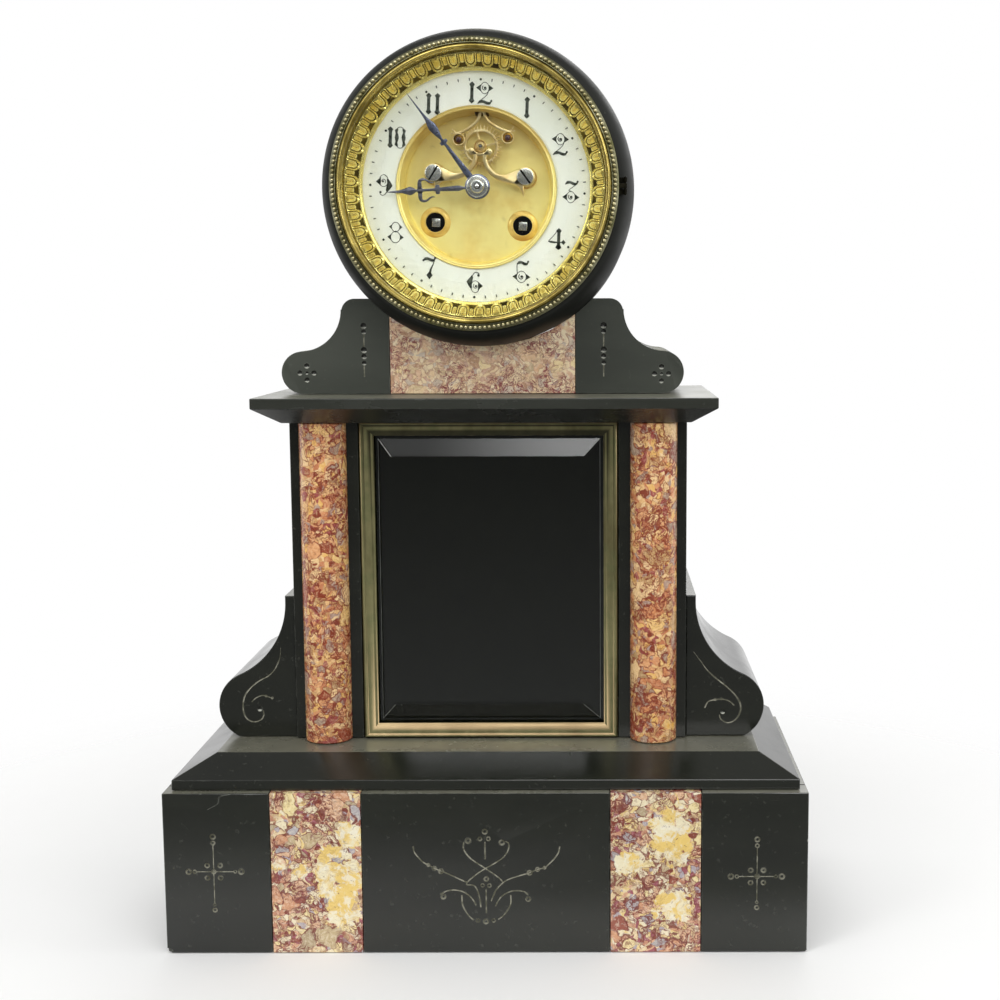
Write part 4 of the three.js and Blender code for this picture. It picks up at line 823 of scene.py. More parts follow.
def collar_finish():
    """The gilding of the sunk collars, with painted shade: a brown crescent below each hole."""
    material, tree, shader = new_finish("collar gilt", Metallic=0.5)
    patches = clouds(tree, 120, 0.4, 0.2)
    # Painted shade: the gilding below each hole is browned.
    low = mapped(tree, part_of(tree, place_on_piece(tree), 2), (DIAL[1] - 19.5) * MM, (DIAL[1] - 24.5) * MM)
    colour = layered(tree, "#efd27a", (patches, 1, "#d3ab52"), (low, 0.9, "#a8711c"))
    feed(tree, shader, colour, mapped(tree, patches, 0, 1, 0.35, 0.48), patches, 0.05, 0.00003)
    return material


def cup_finish():
    """The inside of a drilled cup, in painted light: painted shade above, and a painted highlight where its lower side
    faces up.
    """
    material, tree, shader = new_finish("drilled cups", Roughness=0.5)
    feed(tree, shader, layered(tree, "#191a17", (facing_up(tree, 0.3, 0.55), 1, "#bfc1b5"),
                               (clouds(tree, 300, 0.4, 0.2), 0.4, "#4b4d46")))
    return material


def see_through(tree, share, shader, tint=(1, 1, 1, 1)):
    """The shader, given way to clear nothing by the share."""
    clear = add(tree, "BsdfTransparent", {0: tint})
    both = add(tree, "MixShader", {0: share, 1: shader.outputs[0], 2: clear.outputs[0]})
    tree.links.new(both.outputs[0], tree.nodes["Material Output"].inputs["Surface"])


def glass_finish(name, tint):
    """Clear glass that lets the lamps through to what is behind it."""
    material, tree, shader = new_finish(name, Base_Color=shade_of(tint), Roughness=0.015, IOR=1.5,
                                        Transmission_Weight=1.0)
    see_through(tree, add(tree, "LightPath").outputs["Is Shadow Ray"], shader, shade_of(tint))
    return material


SLATE = slate_finish()
DRUM_SLATE = slate_finish("turned slate", dust=0.2, gloss=0.45, first="#222320", second="#2b2c29", shine=0.12)
SADDLE_SLATE = slate_finish("dull slate", dust=0.5, gloss=0.42, first="#3c3f39", second="#484b44", shine=0.2)
CORNICE_SLATE = slate_finish("cornice slate", dust=0.3, gloss=0.2, first="#282a24", second="#33352f")
GROOVE = patchy_finish("pale filling of the grooves", "#5d5c4a", "#9b998a", (330, 0.5, 0.1), (0.6, 0.85), (0.3,))
CHIP = patchy_finish("fresh break in the slate", "#34352f", "#7c7e76", (300, 0.5, 0.2), None, (0.6,), Roughness=0.8)
MARBLE = marble_finish("red breccia marble", whole_share=0.42, tone="#f2f2f2",
                       pale_patches=[((-69.5, -60, 38), (12, 60, 16)), ((-66.6, -60, 20), (9, 60, 8)),
                                     ((-63.5, -60, 57), (7, 60, 8)), ((86, -60, 56), (10, 60, 16)),
                                     ((86.8, -60, 23), (10, 60, 9)), ((66, -60, 44), (7, 60, 7))])
COLUMN_MARBLE = marble_finish("dark breccia marble", seed=(0.31, 0.2, 0.13), whole_share=0.36, vein="#8a3f2c",
                              tone="#f6dcbe")
PALE_MARBLE = marble_finish("pale breccia marble", seed=(0.12, 0.41, 0.07), whole_share=0.18, vein="#94474a",
                            crushed=PALE_CRUSHED, cream=0.42)
EGG_GILT = metal_finish("bright gilt", "#f7e68d", "#d9c05a", 0.3, 90, (0.24, 0.34), metal=0.8)
# Painted shade for the hollows of the egg-and-dart ring.
HOLLOW_SHADE_GILT = metal_finish("dark gilt of the hollows", "#6f6022", "#3a300e", 0.4, 120, (0.4, 0.55))
PALE_GILT = metal_finish("rubbed gilt", "#cdc59c", "#8f875d", 0.45, 90, (0.26, 0.4))
ROLL_GILT = metal_finish("olive gilt", "#c9b566", "#86753a", 0.45, 80, (0.26, 0.42), wear="#e9dc9a")
BAND_GILT = metal_finish("greyed gilt", "#8d8b70", "#66643f", 0.45, 90, (0.34, 0.48))
DISH_GILT = dish_finish()
COCK_GILT = metal_finish("cock gilt", "#edd8a2", "#c7a159", 0.33, 120, (0.28, 0.4), wear="#f8ecc8")
SEAT_GILT = metal_finish("dark gilt", "#8a6a2c", "#4d3815", 0.45, 200, (0.35, 0.5))
AGED_BRASS = window_brass_finish()
PATINA = metal_finish("patinated brass", "#2c2a20", "#171611", 0.5, 160, (0.45, 0.6))
BRASS = metal_finish("movement brass", "#d6b266", "#9a7838", 0.4, 50, (0.26, 0.42), marks=HUB)
BELL_BRONZE = metal_finish("bell bronze", "#cdaa6c", "#8a6a3a", 0.4, 40, (0.2, 0.36), marks=HUB,
                           marks_height=0.00005)
STEEL = metal_finish("polished steel", "#e2e3e0", "#b4b5b1", 0.25, 110, (0.2, 0.32))
# Painted shade: the screw slots and the ratchets seen down the winding holes are near black.
SHADE_BLACK_STEEL = metal_finish("steel painted black as shade", "#1a1a18", "#0c0c0b", 0.5, 120, (0.35, 0.5))
BLUED = metal_finish("blued steel", "#6d7288", "#484d5f", 0.4, 90, (0.26, 0.4), wear="#8890aa")
GREYED = metal_finish("greyed blue steel", "#777883", "#51525e", 0.45, 90, (0.28, 0.42), wear="#9a9aa6")
ENAMEL = patchy_finish("white enamel", "#f7f8f1", "#eef1e7", (30, 0.5, 0.3), (0.12, 0.2), (0.03, 0.0003),
                       [((700, 0.02, 0.02), 0.4, "#9aa090")], Coat_Weight=0.5, Coat_Roughness=0.04)
NUMERALS = patchy_finish("fired black numerals", "#252a23", "#474d42", (500, 0.4, 0.2), (0.25, 0.45))
GARNET = patchy_finish("garnet stone", "#1c0407", "#4a0d16", (600, 0.4, 0.3), (0.06, 0.14), Coat_Weight=0.6,
                       Coat_Roughness=0.03)
BROAD = (80, 0.5, 0.3)
BOARD = patchy_finish("black board", "#060703", "#0b0c07", BROAD, (0.9, 1), Specular_IOR_Level=0)
# Painted highlights on the glass: the bright one for the top mitres, the dim one for the lower mitres and the side
# edges.
GROUND_EDGE_HIGHLIGHT = patchy_finish("ground edge of the glass", "#c3c6c1", "#f0f2ee", BROAD, (0.4, 0.55), (0.05,))
DIM_EDGE_HIGHLIGHT = patchy_finish("dusty edge of the glass", "#4c4f4a", "#8b8e88", BROAD, (0.5, 0.65), (0.05,))
CUP = cup_finish()
COLLAR = collar_finish()
# Painted shade: the walls of holes and of the pendulum's opening take this near-black.
SHADOW = patchy_finish("dark opening", "#030302", "#080705", BROAD, (0.8, 0.95), (0.05,))
PANE_GLASS = glass_finish("bevelled plate glass", "#f1f6f2")
DIAL_GLASS = glass_finish("clear dial glass", "#fbfdfb")


# Incised ornament
def drilled_dot(x, z, front, radius=1.25):
    """A drilled ring: the stone is left standing in its middle."""
    depth = front + 0.45 * radius
    inner = radius * 0.46
    profile = [(inner, front - 1), (radius, front - 1), (radius, front + 0.08 * radius),
               (radius * 0.86, depth), (inner * 1.2, depth), (inner, front + 0.1 * radius)]
    return turned("dot", profile, (x, z), GROOVE, 20)


def round_cup(x, z, front, radius=1.3):
    """A round hollow, drilled into the slate itself."""
    profile = [(0, front - 1), (radius, front - 1), (radius, front), (radius * 0.94, front + 0.32 * radius),
               (radius * 0.8, front + 0.57 * radius), (radius * 0.56, front + 0.78 * radius),
               (radius * 0.28, front + 0.9 * radius), (0, front + 0.94 * radius)]
    return turned("cup", profile, (x, z), CUP, 40, 60)


def round_cutter(name, place, radius, front, back, finish, segments=48):
    return turned(name, [(0, front), (radius, front), (radius, back), (0, back)], place, finish, segments)


def incised_line(points, front, radius=0.3, taper=None):
    return tube("line", [(x, front, z) for x, z in smooth_path(points, 6)], radius, GROOVE, sides=2, taper=taper)


def cross_of_dots(centre, top, bottom, left, right):
    """A cross of thin lines on the base's front, with dots at its ends and four round its middle."""
    x, z = centre
    near = 3
    dots = [(x, z, 1.25), (x, top, 1.45), (x, top - 3, 1.15), (x, bottom, 1.25), (x, bottom + 2.6, 0.8),
            *((x + sx * near, z + sz * near, 1.3) for sx in (-1, 1) for sz in (-1, 1)),
            (left, z, 1.5), (right, z, 1.5), (left + 2.8, z, 1.05), (right - 2.8, z, 0.9)]
    lines = [[(x, top - 4), (x, z), (x, bottom + 3.4)], [(left + 3.6, z), (x, z), (right - 3.6, z)]]
    return ([incised_line(line, 0, 0.21) for line in lines]
            + [drilled_dot(dx, dz, 0, radius) for dx, dz, radius in dots])


# The middle flourish: its lines and its dots with their radii, drawn in pixels of the photograph
FLOURISH_MIDDLE_PX = (485.5, 864.5)
FLOURISH_MIDDLE_MM = (-0.3, 41.7)
BASE_MM_PER_PX = 0.4712


def from_photo(points):
    return [(FLOURISH_MIDDLE_MM[0] + (x - FLOURISH_MIDDLE_PX[0]) * BASE_MM_PER_PX,
             FLOURISH_MIDDLE_MM[1] - (y - FLOURISH_MIDDLE_PX[1]) * BASE_MM_PER_PX) for x, y in points]


FLOURISH_LINES_PX = [
    [(464.5, 839), (463.9, 845), (467, 851.6), (473.4, 858), (485.5, 866.3), (494.5, 872.6), (500.3, 877.4),
     (503, 881)],
    [(505.5, 838.4), (508.7, 841), (508.2, 847.4), (503.4, 854.7), (495.5, 860.5), (485.5, 866.3), (477.6, 871.6),
     (468.2, 879.5), (466.6, 883)],
    [(414.3, 843.4), (415.5, 849.5), (419.7, 855.3), (425, 860.5), (429.2, 862.6), (435.2, 866), (441.6, 869),
     (447, 871), (454.5, 874.7), (464, 879.2), (467.6, 880.5)],
    [(559.2, 844), (557.6, 850.5), (553.4, 856.8), (548.2, 862), (544, 865.6), (537, 867.4), (529.2, 870.8),
     (525, 872.1), (514.5, 875.3), (506.6, 878.4), (501.8, 882), (496.6, 887.4), (493.4, 893.7), (490.8, 900)],
    [(440.5, 893), (447, 889.5), (453.4, 888.4), (460.8, 889.5), (467, 892.6), (472.4, 897.9), (476, 904.2)],
    [(527.6, 893.7), (524, 890.5), (517.6, 889.3), (510.3, 890), (503, 893.7), (498.2, 899), (495, 905.3)],
    [(461.8, 893.7), (462.4, 903.2), (465, 909.5), (469.2, 915.8), (473.4, 919.5)],
    [(510.3, 893.7), (510.3, 902), (507.6, 908.4), (503, 914.7), (497.6, 919)],
    [(485.3, 839), (485.3, 856.8)],
    [(486, 887.4), (486, 912.6)],
    [(466.6, 883), (474, 884), (477.6, 889.5), (479.7, 898), (480.6, 906.3)],
]
FLOURISH_DOTS_PX = [
    (485.3, 828.6, 1.45), (480.4, 836, 1.15), (488.7, 836, 1.15), (468.7, 837.9, 1.45), (502, 839.7, 1.45),
    (441.6, 869, 1.4), (435.2, 866, 1.15), (429.2, 862.6, 0.95), (529.2, 870.8, 1.4), (537, 867.4, 1.2),
    (544, 865.6, 0.9), (486.3, 877.2, 1.3), (482.6, 883.7, 1.05), (489.2, 883.9, 1.1), (443.6, 895.3, 1.35),
    (527.6, 898, 1.35), (477.6, 920, 1.1), (485.5, 921, 1.4), (493.2, 920, 1.1),
]


def flourish():
    places = from_photo([dot[:2] for dot in FLOURISH_DOTS_PX])
    return ([incised_line(from_photo(line), 0) for line in FLOURISH_LINES_PX]
            + [drilled_dot(x, z, 0, dot[2]) for (x, z), dot in zip(places, FLOURISH_DOTS_PX)])


def chip(x, depth, z, size, seed):
    """An irregular lump that takes a shell-shaped flake out of an edge."""
    mesh = bpy.data.meshes.new("chip")
    with opened(mesh) as lump:
        bmesh.ops.create_icosphere(lump, subdivisions=3, radius=size * MM)
        for corner in lump.verts:
            swell = noise.noise(corner.co * (0.9 / (size * MM)) + Vector((seed, seed * 0.7, 0)))
            corner.co *= 1 + 0.45 * swell
    mesh.transform(Matrix.Translation((x * MM, depth_to_y(depth), z * MM)) @ Matrix.Diagonal((1, 1, 0.7, 1)))
    mesh.materials.append(CHIP)
    return link("chip", mesh)


def chips(*places):
    return [chip(*place) for place in places]


# Case


def make_base():
    scratch = smooth_path([(-129, 69.3), (-124.1, 72.2), (-123, 75.6), (-118, 76.8), (-116, 77.6)], 6)
    scratched = tube("scratch", [(x, 0, z) for x, z in scratch], 0.2, CHIP, sides=1, taper=[0.6, 1, 1, 1, 0.5])
    left_cuts = (cross_of_dots((-126.9, 39.5), 56.4, 20.9, -138.6, -114.1)
                 + chips((-151, -0.6, 0, 3.6, 1), (-150.8, -0.9, 68, 1.4, 2), (-132, -1.2, 77.6, 1.7, 3),
                         (-150.9, -0.4, 44, 1.3, 4)) + [scratched])
    right_cuts = (cross_of_dots((126.3, 36.7), 54.6, 21.6, 114.1, 137.9)
                  + chips((151.1, -0.6, -0.2, 2.6, 5), (150.7, -0.8, 76.8, 1.2, 6), (150.8, -0.6, 53.8, 1.6, 8)))
    for node, name, cuts in (("base_front_left", "base_front_left_slab", left_cuts),
                             ("base_front_right", "base_front_right_slab", right_cuts),
                             ("base_front_center", "base_front_middle_slab", flourish())):
        stands_for(carved(softened(node, SLATE, 0.5, name), cuts), "case", "slate", node)
    for side in ("left", "right"):
        slab("base_marble_" + side, "base_marble_panel_" + side, 0.25, MARBLE, "marble")
        slab("base_side_" + side, "base_side_slab_" + side, 0.6, SLATE)
    slab("base_back", "base_back_slab", 0.6, SLATE)
    slab("plinth", "plinth_slab", 0.35, SLATE, angle=18)


BODY = {"half": 95.2, "bottom": 90.9, "top": 246}
COLUMN = {"radius": 11.25, "side": 79.25, "front": 44.3}
BRACKET_FRONT = 47.5


def half_column(side, sign):
    """A half-round marble shaft with its long edges eased."""
    middle, radius, ease = sign * COLUMN["side"], COLUMN["radius"], 0.5
    low, high = BODY["bottom"], BODY["top"]
    outline = arc((middle, 0), radius, math.pi, 2 * math.pi, 48)
    rings = []
    for height, inset in ((low, ease), (low + ease, 0), (high - ease, 0), (high, ease)):
        scale = 1 - inset / radius
        rings.append([(middle + (x - middle) * scale, COLUMN["front"] + y * scale, height) for x, y in outline])
    return lofted("column_shaft_" + side, rings, COLUMN_MARBLE)


def bracket_scroll(sign):
    """The incised scroll on each bracket; the two were cut by hand and differ a little."""
    if sign < 0:
        scroll = [(-102.8, 135.2), (-103.4, 130.1), (-105.7, 125), (-108.9, 121.5), (-114, 118.6), (-117.9, 115.4),
                  (-120.8, 111.6), (-122, 107.1), (-121.7, 102.6), (-119.9, 99.4), (-116.5, 98.2), (-113.3, 99.4),
                  (-112, 101.6), (-112.2, 103.9)]
        second = [(-117.8, 108.2), (-115.5, 110.3), (-112.3, 111.5), (-109.9, 110.9), (-107.4, 110)]
        ball, dots = (-113.8, 104.7), [(-110.6, 111.2), (-107.6, 110.2)]
    else:
        scroll = [(99.1, 132.9), (102.9, 127.9), (105.9, 123.7), (110.4, 119.5), (115.7, 115.2), (119.9, 111),
                  (122.2, 106.7), (122.2, 102.9), (120, 99), (116.2, 97.3), (112.8, 99), (111.9, 101.4)]
        second = [(104.7, 104.8), (106.4, 107.9), (109.8, 108.9), (112.8, 109.2), (116.5, 108.3), (119.2, 106)]
        ball, dots = (113.6, 102.9), [(109.9, 109), (112.9, 109.3)]
    return ([incised_line(scroll, BRACKET_FRONT, 0.33, [0.25, 0.9, 1, 0.9, 0.7]),
             incised_line(second, BRACKET_FRONT, 0.28)]
            + [round_cup(*ball, BRACKET_FRONT, 1.25)]
            + [drilled_dot(x, z, BRACKET_FRONT, 0.7) for x, z in dots])


def make_body():
    for side, sign in (("left", -1), ("right", 1)):
        slab("pilaster_" + side, "pilaster_slab_" + side, 0.4, SLATE)
        stands_for(half_column(side, sign), "case", "marble", "column_" + side)
        slab("body_side_" + side, "body_side_slab_" + side, 0.5, SLATE)
        bracket = carved(smooth_bracket(side, sign), bracket_scroll(sign), 12)
        stands_for(bracket, "case", "slate", "bracket_" + side)
    slab("body_back", "body_back_slab", 0.5, SLATE)
    slab("cornice", "cornice_slab", 0.4, CORNICE_SLATE, angle=18)


BRACKET = {"foot": 90.9, "inner": 95.5, "nose_reach": 133.8, "nose_height": 15.6, "nose_radius": 17.1,
           "hollow_reach": 44.3, "hollow_height": 67.3, "top": 70.4, "stand": 90.6, "back": 135}


def smooth_bracket(side, sign):
    """A bracket's side outline: a round nose, and a hollow that sweeps up to the body."""
    nose = (BRACKET["nose_reach"] - BRACKET["nose_radius"], BRACKET["stand"] + BRACKET["nose_height"])
    hollow = (BODY["half"] + BRACKET["hollow_reach"], BRACKET["stand"] + BRACKET["hollow_height"])
    apart = math.dist(nose, hollow)
    lean = math.atan2(hollow[1] - nose[1], hollow[0] - nose[0])
    hollow_radius = apart - BRACKET["nose_radius"]
    foot_angle = math.asin((BRACKET["foot"] - nose[1]) / BRACKET["nose_radius"])
    top = BRACKET["stand"] + BRACKET["top"]
    outline = [(BRACKET["inner"], BRACKET["foot"]),
               *arc(nose, BRACKET["nose_radius"], foot_angle, lean, 40),
               *arc(hollow, hollow_radius, lean + math.pi, math.pi, 40)[1:],
               (hollow[0] - hollow_radius, top), (BRACKET["inner"], top)]
    drawn = outline if sign > 0 else mirrored(outline)
    return plate("bracket_scroll_" + side, [drawn], BRACKET_FRONT, BRACKET["back"], SLATE, 0.45)


# Window
FRAME = {"half": 62, "face": 6.8, "front": 43.6, "lip": 3.2, "rebate": 2.2, "depth": 12.4}
PANE = {"thickness": 4.4, "edge": 2, "margin": 1.7, "bevels": (14.9, 16.6, 15.9, 16.9), "fit": 0.3}


def corners_within(left, right, bottom, top, depth):
    """Four corners, each side drawn in from the frame's outer edge by its own amount."""
    half, low, high = FRAME["half"], BODY["bottom"], BODY["top"]
    return [(left - half, depth, low + bottom), (half - right, depth, low + bottom),
            (half - right, depth, high - top), (left - half, depth, high - top)]


def even_corners(inset, depth):
    return corners_within(inset, inset, inset, inset, depth)


def make_window():
    moulding = [(0.15, 2.2), (0.15, 0.9), (0.3, 0.35), (0.65, 0.05), (1.1, 0), (1.5, 0.15), (1.8, 0.5), (2.0, 0.75),
                (2.5, 0.8), (3.3, 0.95), (4.2, 1.35), (5.1, 1.95), (5.9, 2.6), (6.4, 3.0), (6.7, 3.1), (6.8, 3.3)]
    inside, lip = FRAME["face"] - FRAME["rebate"], FRAME["lip"] + 0.1
    section = moulding + [(FRAME["face"], lip), (inside, lip), (inside, FRAME["depth"]), (0.15, FRAME["depth"])]
    rings = [even_corners(across, FRAME["front"] + back) for across, back in section]
    stands_for(lofted("window_moulding", rings, AGED_BRASS, True, 50), "case", "aged_brass", "window_frame")
    edge = inside + PANE["fit"]
    front = FRAME["front"] + FRAME["lip"] + PANE["fit"]
    back = front + PANE["thickness"]
    flat = corners_within(*PANE["bevels"], front)
    foot = even_corners(FRAME["face"] + PANE["margin"], back - PANE["edge"])
    pane = lofted("bevelled_pane", [flat, foot, even_corners(edge, back - PANE["edge"]), even_corners(edge, back)],
                  PANE_GLASS, False, 1)
    stands_for(eased(pane, 0.12, 2, 8), "case", "window_glass", "window_glass")
    # Thin rods along the mitres and side edges are painted highlights: bright at the top corners, dim below and at the
    # sides.
    lines = [(f"mitre_line_{i}", foot[i], flat[i], 0.11, DIM_EDGE_HIGHLIGHT if i < 2 else GROUND_EDGE_HIGHLIGHT) for i in range(4)]
    lines += [("pane_edge_left", foot[3], foot[0], 0.09, DIM_EDGE_HIGHLIGHT),
              ("pane_edge_right", foot[1], foot[2], 0.09, DIM_EDGE_HIGHLIGHT)]
    for name, start, end, radius, finish in lines:
        stands_for(tube(name, [start, end], radius, finish, sides=1), "case", "window_glass")
    slab("window_board", "window_backing_board", 0.2, BOARD, "black_board")


# Saddle with its marble panel
SADDLE = {"front": 54.7, "toe_reach": 97.1, "toe_radius": 10.2, "hollow_radius": 20, "hollow_reach": 88,
          "foot": 258.9, "top": 304.5, "corner": 6.5, "reach": 67.8, "half": 44.9, "panel": 12, "seam": 0.3}
SHOULDER_ORNAMENTS = {"columns": (-60.15, 55.4), "crosses": ((-87.9, 269.0), (83.3, 268.3))}
CHUTE = {"half": 27, "front": 80, "back": 106}


def saddle_outline():
    """The two shoulders: round toes, hollows and round tops."""
    foot, quarter = SADDLE["foot"], math.pi / 2
    toe = (SADDLE["toe_reach"] - SADDLE["toe_radius"], foot + SADDLE["toe_radius"])
    hollow = (SADDLE["hollow_reach"], toe[1] + SADDLE["toe_radius"] + SADDLE["hollow_radius"])
    corner = (SADDLE["reach"] - SADDLE["corner"], SADDLE["top"] - SADDLE["corner"])
    right = [*arc(toe, SADDLE["toe_radius"], -quarter, quarter, 24),
             *arc(hollow, SADDLE["hollow_radius"], -quarter, -2 * quarter, 18),
             *arc(corner, SADDLE["corner"], 0, quarter, 12)]
    return moved(right + mirrored(right), (DIAL[0], 0))


def column_of_dots(x):
    """The upright ornament on a shoulder: two cups, a line, three cups and a line."""
    front = SADDLE["front"]
    cups = [(291.6, 1.5), (288.7, 1.2), (280, 1.5), (276.9, 1.3), (273.7, 1.15)]
    lines = [[(x, 288.1), (x, 280.9)], [(x, 273.3), (x, 267)]]
    return ([incised_line(line, front, 0.3) for line in lines]
            + [round_cup(x, z, front, r) for z, r in cups])


def dots_in_a_cross(x, z):
    arms = [(0, 0, 0.8), (-3.4, 0, 1.25), (3.4, 0, 1.25), (0, 3.4, 1.3), (0, -3.4, 1.2)]
    return [round_cup(x + dx, z + dz, SADDLE["front"], radius) for dx, dz, radius in arms]


def drum_clearance():
    return round_cutter("clearance", DIAL, DRUM["radius"] + SADDLE["seam"], 0, BASE_DEPTH + 10, SLATE, ROUND)


def chute(bottom, top):
    """The opening in which the pendulum hangs down into the body."""
    return box("way", DIAL[0] - CHUTE["half"], DIAL[0] + CHUTE["half"], CHUTE["front"], CHUTE["back"], bottom, top,
               SHADOW, 0.01)


def make_saddle():
    front, half = SADDLE["front"], SADDLE["half"]
    block = prism("saddle_block", saddle_outline(), front, BASE_DEPTH, SADDLE_SLATE, 0.45)
    recess_back = front + SADDLE["panel"] + SADDLE["seam"]
    recess = box("recess", DIAL[0] - half, DIAL[0] + half, front - 5, recess_back, 250, 360, SADDLE_SLATE, 0.01)
    cuts = [recess, chute(250, 360), drum_clearance()]
    for x in SHOULDER_ORNAMENTS["columns"]:
        cuts += column_of_dots(x)
    for x, z in SHOULDER_ORNAMENTS["crosses"]:
        cuts += dots_in_a_cross(x, z)
    stands_for(carved(block, cuts, 12), "case", "slate", "saddle")
    slab("saddle_panel", "saddle_marble_panel", 0.25, PALE_MARBLE, "marble")


# Drum, bezel and dial
def make_drum():
    front_round = []
    for i in range(21):
        angle = math.pi / 2 * i / 20
        front_round.append((DRUM["front_radius"] + (DRUM["radius"] - DRUM["front_radius"]) * math.sin(angle),
                            DRUM["front"] + DRUM["round_depth"] * (1 - math.cos(angle))))
    back = DRUM["back"]
    profile = [(DRUM["bore"], DRUM["front"]), *front_round, (DRUM["radius"], back - 0.5),
               (DRUM["radius"] - 0.5, back), (DRUM["bore"], back)]
    drum = turned("drum_case", profile, DIAL, DRUM_SLATE, 240, 40)
    cuts = [chute(DIAL[1] - 80, DIAL[1] - 30)]
    for out, angle, depth, size, seed in ((0.1, 19, 42, 1.9, 11), (-0.4, -12, 36, 1.1, 12)):
        x, z = polar(DIAL, DRUM["radius"] + out, math.radians(angle))
        cuts.append(chip(x, depth, z, size, seed))
    stands_for(carved(drum, cuts), "case", "slate", "drum")


def bead_ring():
    """A ring of small round beads, each shut flat at its back."""
    around, rows, full_tilt = 10, 5, math.pi / 1.55
    vertices, faces = [], []
    for bead in range(BEADS["count"]):
        x, z = polar(DIAL, BEADS["circle"], 2 * math.pi * bead / BEADS["count"])
        start = len(vertices)
        vertices.append((x, BEADS["depth"] - BEADS["radius"], z))
        for row in range(1, rows + 1):
            tilt = full_tilt * row / rows
            depth = BEADS["depth"] - BEADS["radius"] * math.cos(tilt)
            for i in range(around):
                px, pz = polar((x, z), BEADS["radius"] * math.sin(tilt), 2 * math.pi * i / around)
                vertices.append((px, depth, pz))
        faces += [(start, start + 1 + (i + 1) % around, start + 1 + i) for i in range(around)]
        for low in range(start + 1, start + 1 + (rows - 1) * around, around):
            high = low + around
            for i in range(around):
                after = (i + 1) % around
                faces.append((low + i, low + after, high + after, high + i))
        faces.append(tuple(range(len(vertices) - around, len(vertices))))
    return mesh_of("bezel_beads", vertices, faces, PALE_GILT, 60)


def make_bezel():
    profile = [(59.4, 14), (59.4, 12.9), (59.52, 11.9), (59.8, 11.1), (60.25, 10.45), (60.7, 10.25),
               (61.15, 10.4), (61.5, 10.9), (61.66, 11.5), (61.72, 12.2), (61.95, 12.3), (62.05, 11.6),
               (62.2, 11.3), (62.4, 11.35), (62.5, 12), (62.6, 12.7), (64.6, 12.7), (65.2, 13.4),
               (65.2, 20.2), (60.8, 20.2), (60.8, 14)]
    ring = turned("bezel_ring", profile, DIAL, ROLL_GILT, 240, 40)
    paint_ring(ring, 61.9, 65.3, BAND_GILT)
    stands_for(ring, "front_bezel", "gilt_brass", "front_bezel")
    stands_for(bead_ring(), "front_bezel", "gilt_brass")
    make_hinge_knuckles()
    front, back = GLASS["front"], GLASS["front"] + GLASS["thickness"]
    radius = GLASS["radius"]
    lens = [(0, front), (radius - GLASS["bevel"], front), (radius, (front + back) / 2), (radius, back), (0, back)]
    stands_for(turned("dial_glass", lens, DIAL, DIAL_GLASS, ROUND, 1), "front_bezel", "dial_glass", "front_glass")


def paint_ring(obj, inner, outer, finish):
    """The faces between two radii take another finish."""
    obj.data.materials.append(finish)
    for face in obj.data.polygons:
        across = math.hypot(face.center.x / MM - DIAL[0], face.center.z / MM - DIAL[1])
        if inner < across < outer:
            face.material_index = len(obj.data.materials) - 1


REAR_HINGE = {"radius": 1.3, "pin": 0.7, "knuckle": 5, "gap": 0.3, "side": 58.4, "depth": 133.1}
BEZEL_HINGE = {"radius": 0.9, "pin": 0.55, "knuckle": 2.4, "gap": 0.25, "side": 68.2, "depth": 19.6}


def upright_rod(name, x, depth, radius, bottom, top, finish, ease=0.2):
    steps = 24
    rings = []
    for height, reach in ((bottom, radius - ease), (bottom + ease, radius), (top - ease, radius),
                          (top, radius - ease)):
        ring = [polar((x, depth), reach, 2 * math.pi * i / steps) for i in range(steps)]
        rings.append([(px, pd, height) for px, pd in ring])
    return lofted(name, rings, finish, False, 40)


def moving_knuckle(hinge, leaf, finish):
    """The middle knuckle of a hinge at the dial's height, with its leaf given as its left edge, front and back."""
    x, z, half = DIAL[0] + hinge["side"], DIAL[1], hinge["knuckle"] / 2
    left, front, back, leaf_half = leaf
    return [upright_rod("knuckle", x, hinge["depth"], hinge["radius"], z - half, z + half, finish),
            box("leaf", left, x, front, back, z - leaf_half, z + leaf_half, finish, 0.15)]


def fixed_knuckles(hinge, leaf, finish):
    """The hinge's pin, with the two knuckles and leaves that stay with it."""
    x, z, depth, long = DIAL[0] + hinge["side"], DIAL[1], hinge["depth"], hinge["knuckle"]
    left, front, back = leaf
    middle = long / 2 + hinge["gap"]
    reach = middle + long + 0.3
    parts = [upright_rod("pin", x, depth, hinge["pin"], z - reach, z + reach, finish)]
    for low in (z - middle - long, z + middle):
        parts.append(upright_rod("knuckle", x, depth, hinge["radius"], low, low + long, finish))
        parts.append(box("leaf", left, x, front, back, low, low + long, finish, 0.15))
    return parts


def make_hinge_knuckles():
    """The bezel's small hinge at three o'clock: one knuckle moves, and two stay with the pin."""
    moving = moving_knuckle(BEZEL_HINGE, (DIAL[0] + 64.2, 18.6, 20.1, 1.1), PATINA)
    stands_for(joined("bezel_hinge_knuckle", *moving), "front_bezel", "gilt_brass")
    fixed = fixed_knuckles(BEZEL_HINGE, (DIAL[0] + 63.4, 20.7, 21.7), PATINA)
    stands_for(joined("bezel_hinge_fixed", *fixed), "case", "gilt_brass")


# Width of one repeat of the pattern, halfway up the slope, and the angle at which its first one begins
EGG_PITCH = 2 * math.pi * 56 / EGGS["count"]
DIAL_START = math.pi / 2 - DIAL_TURN


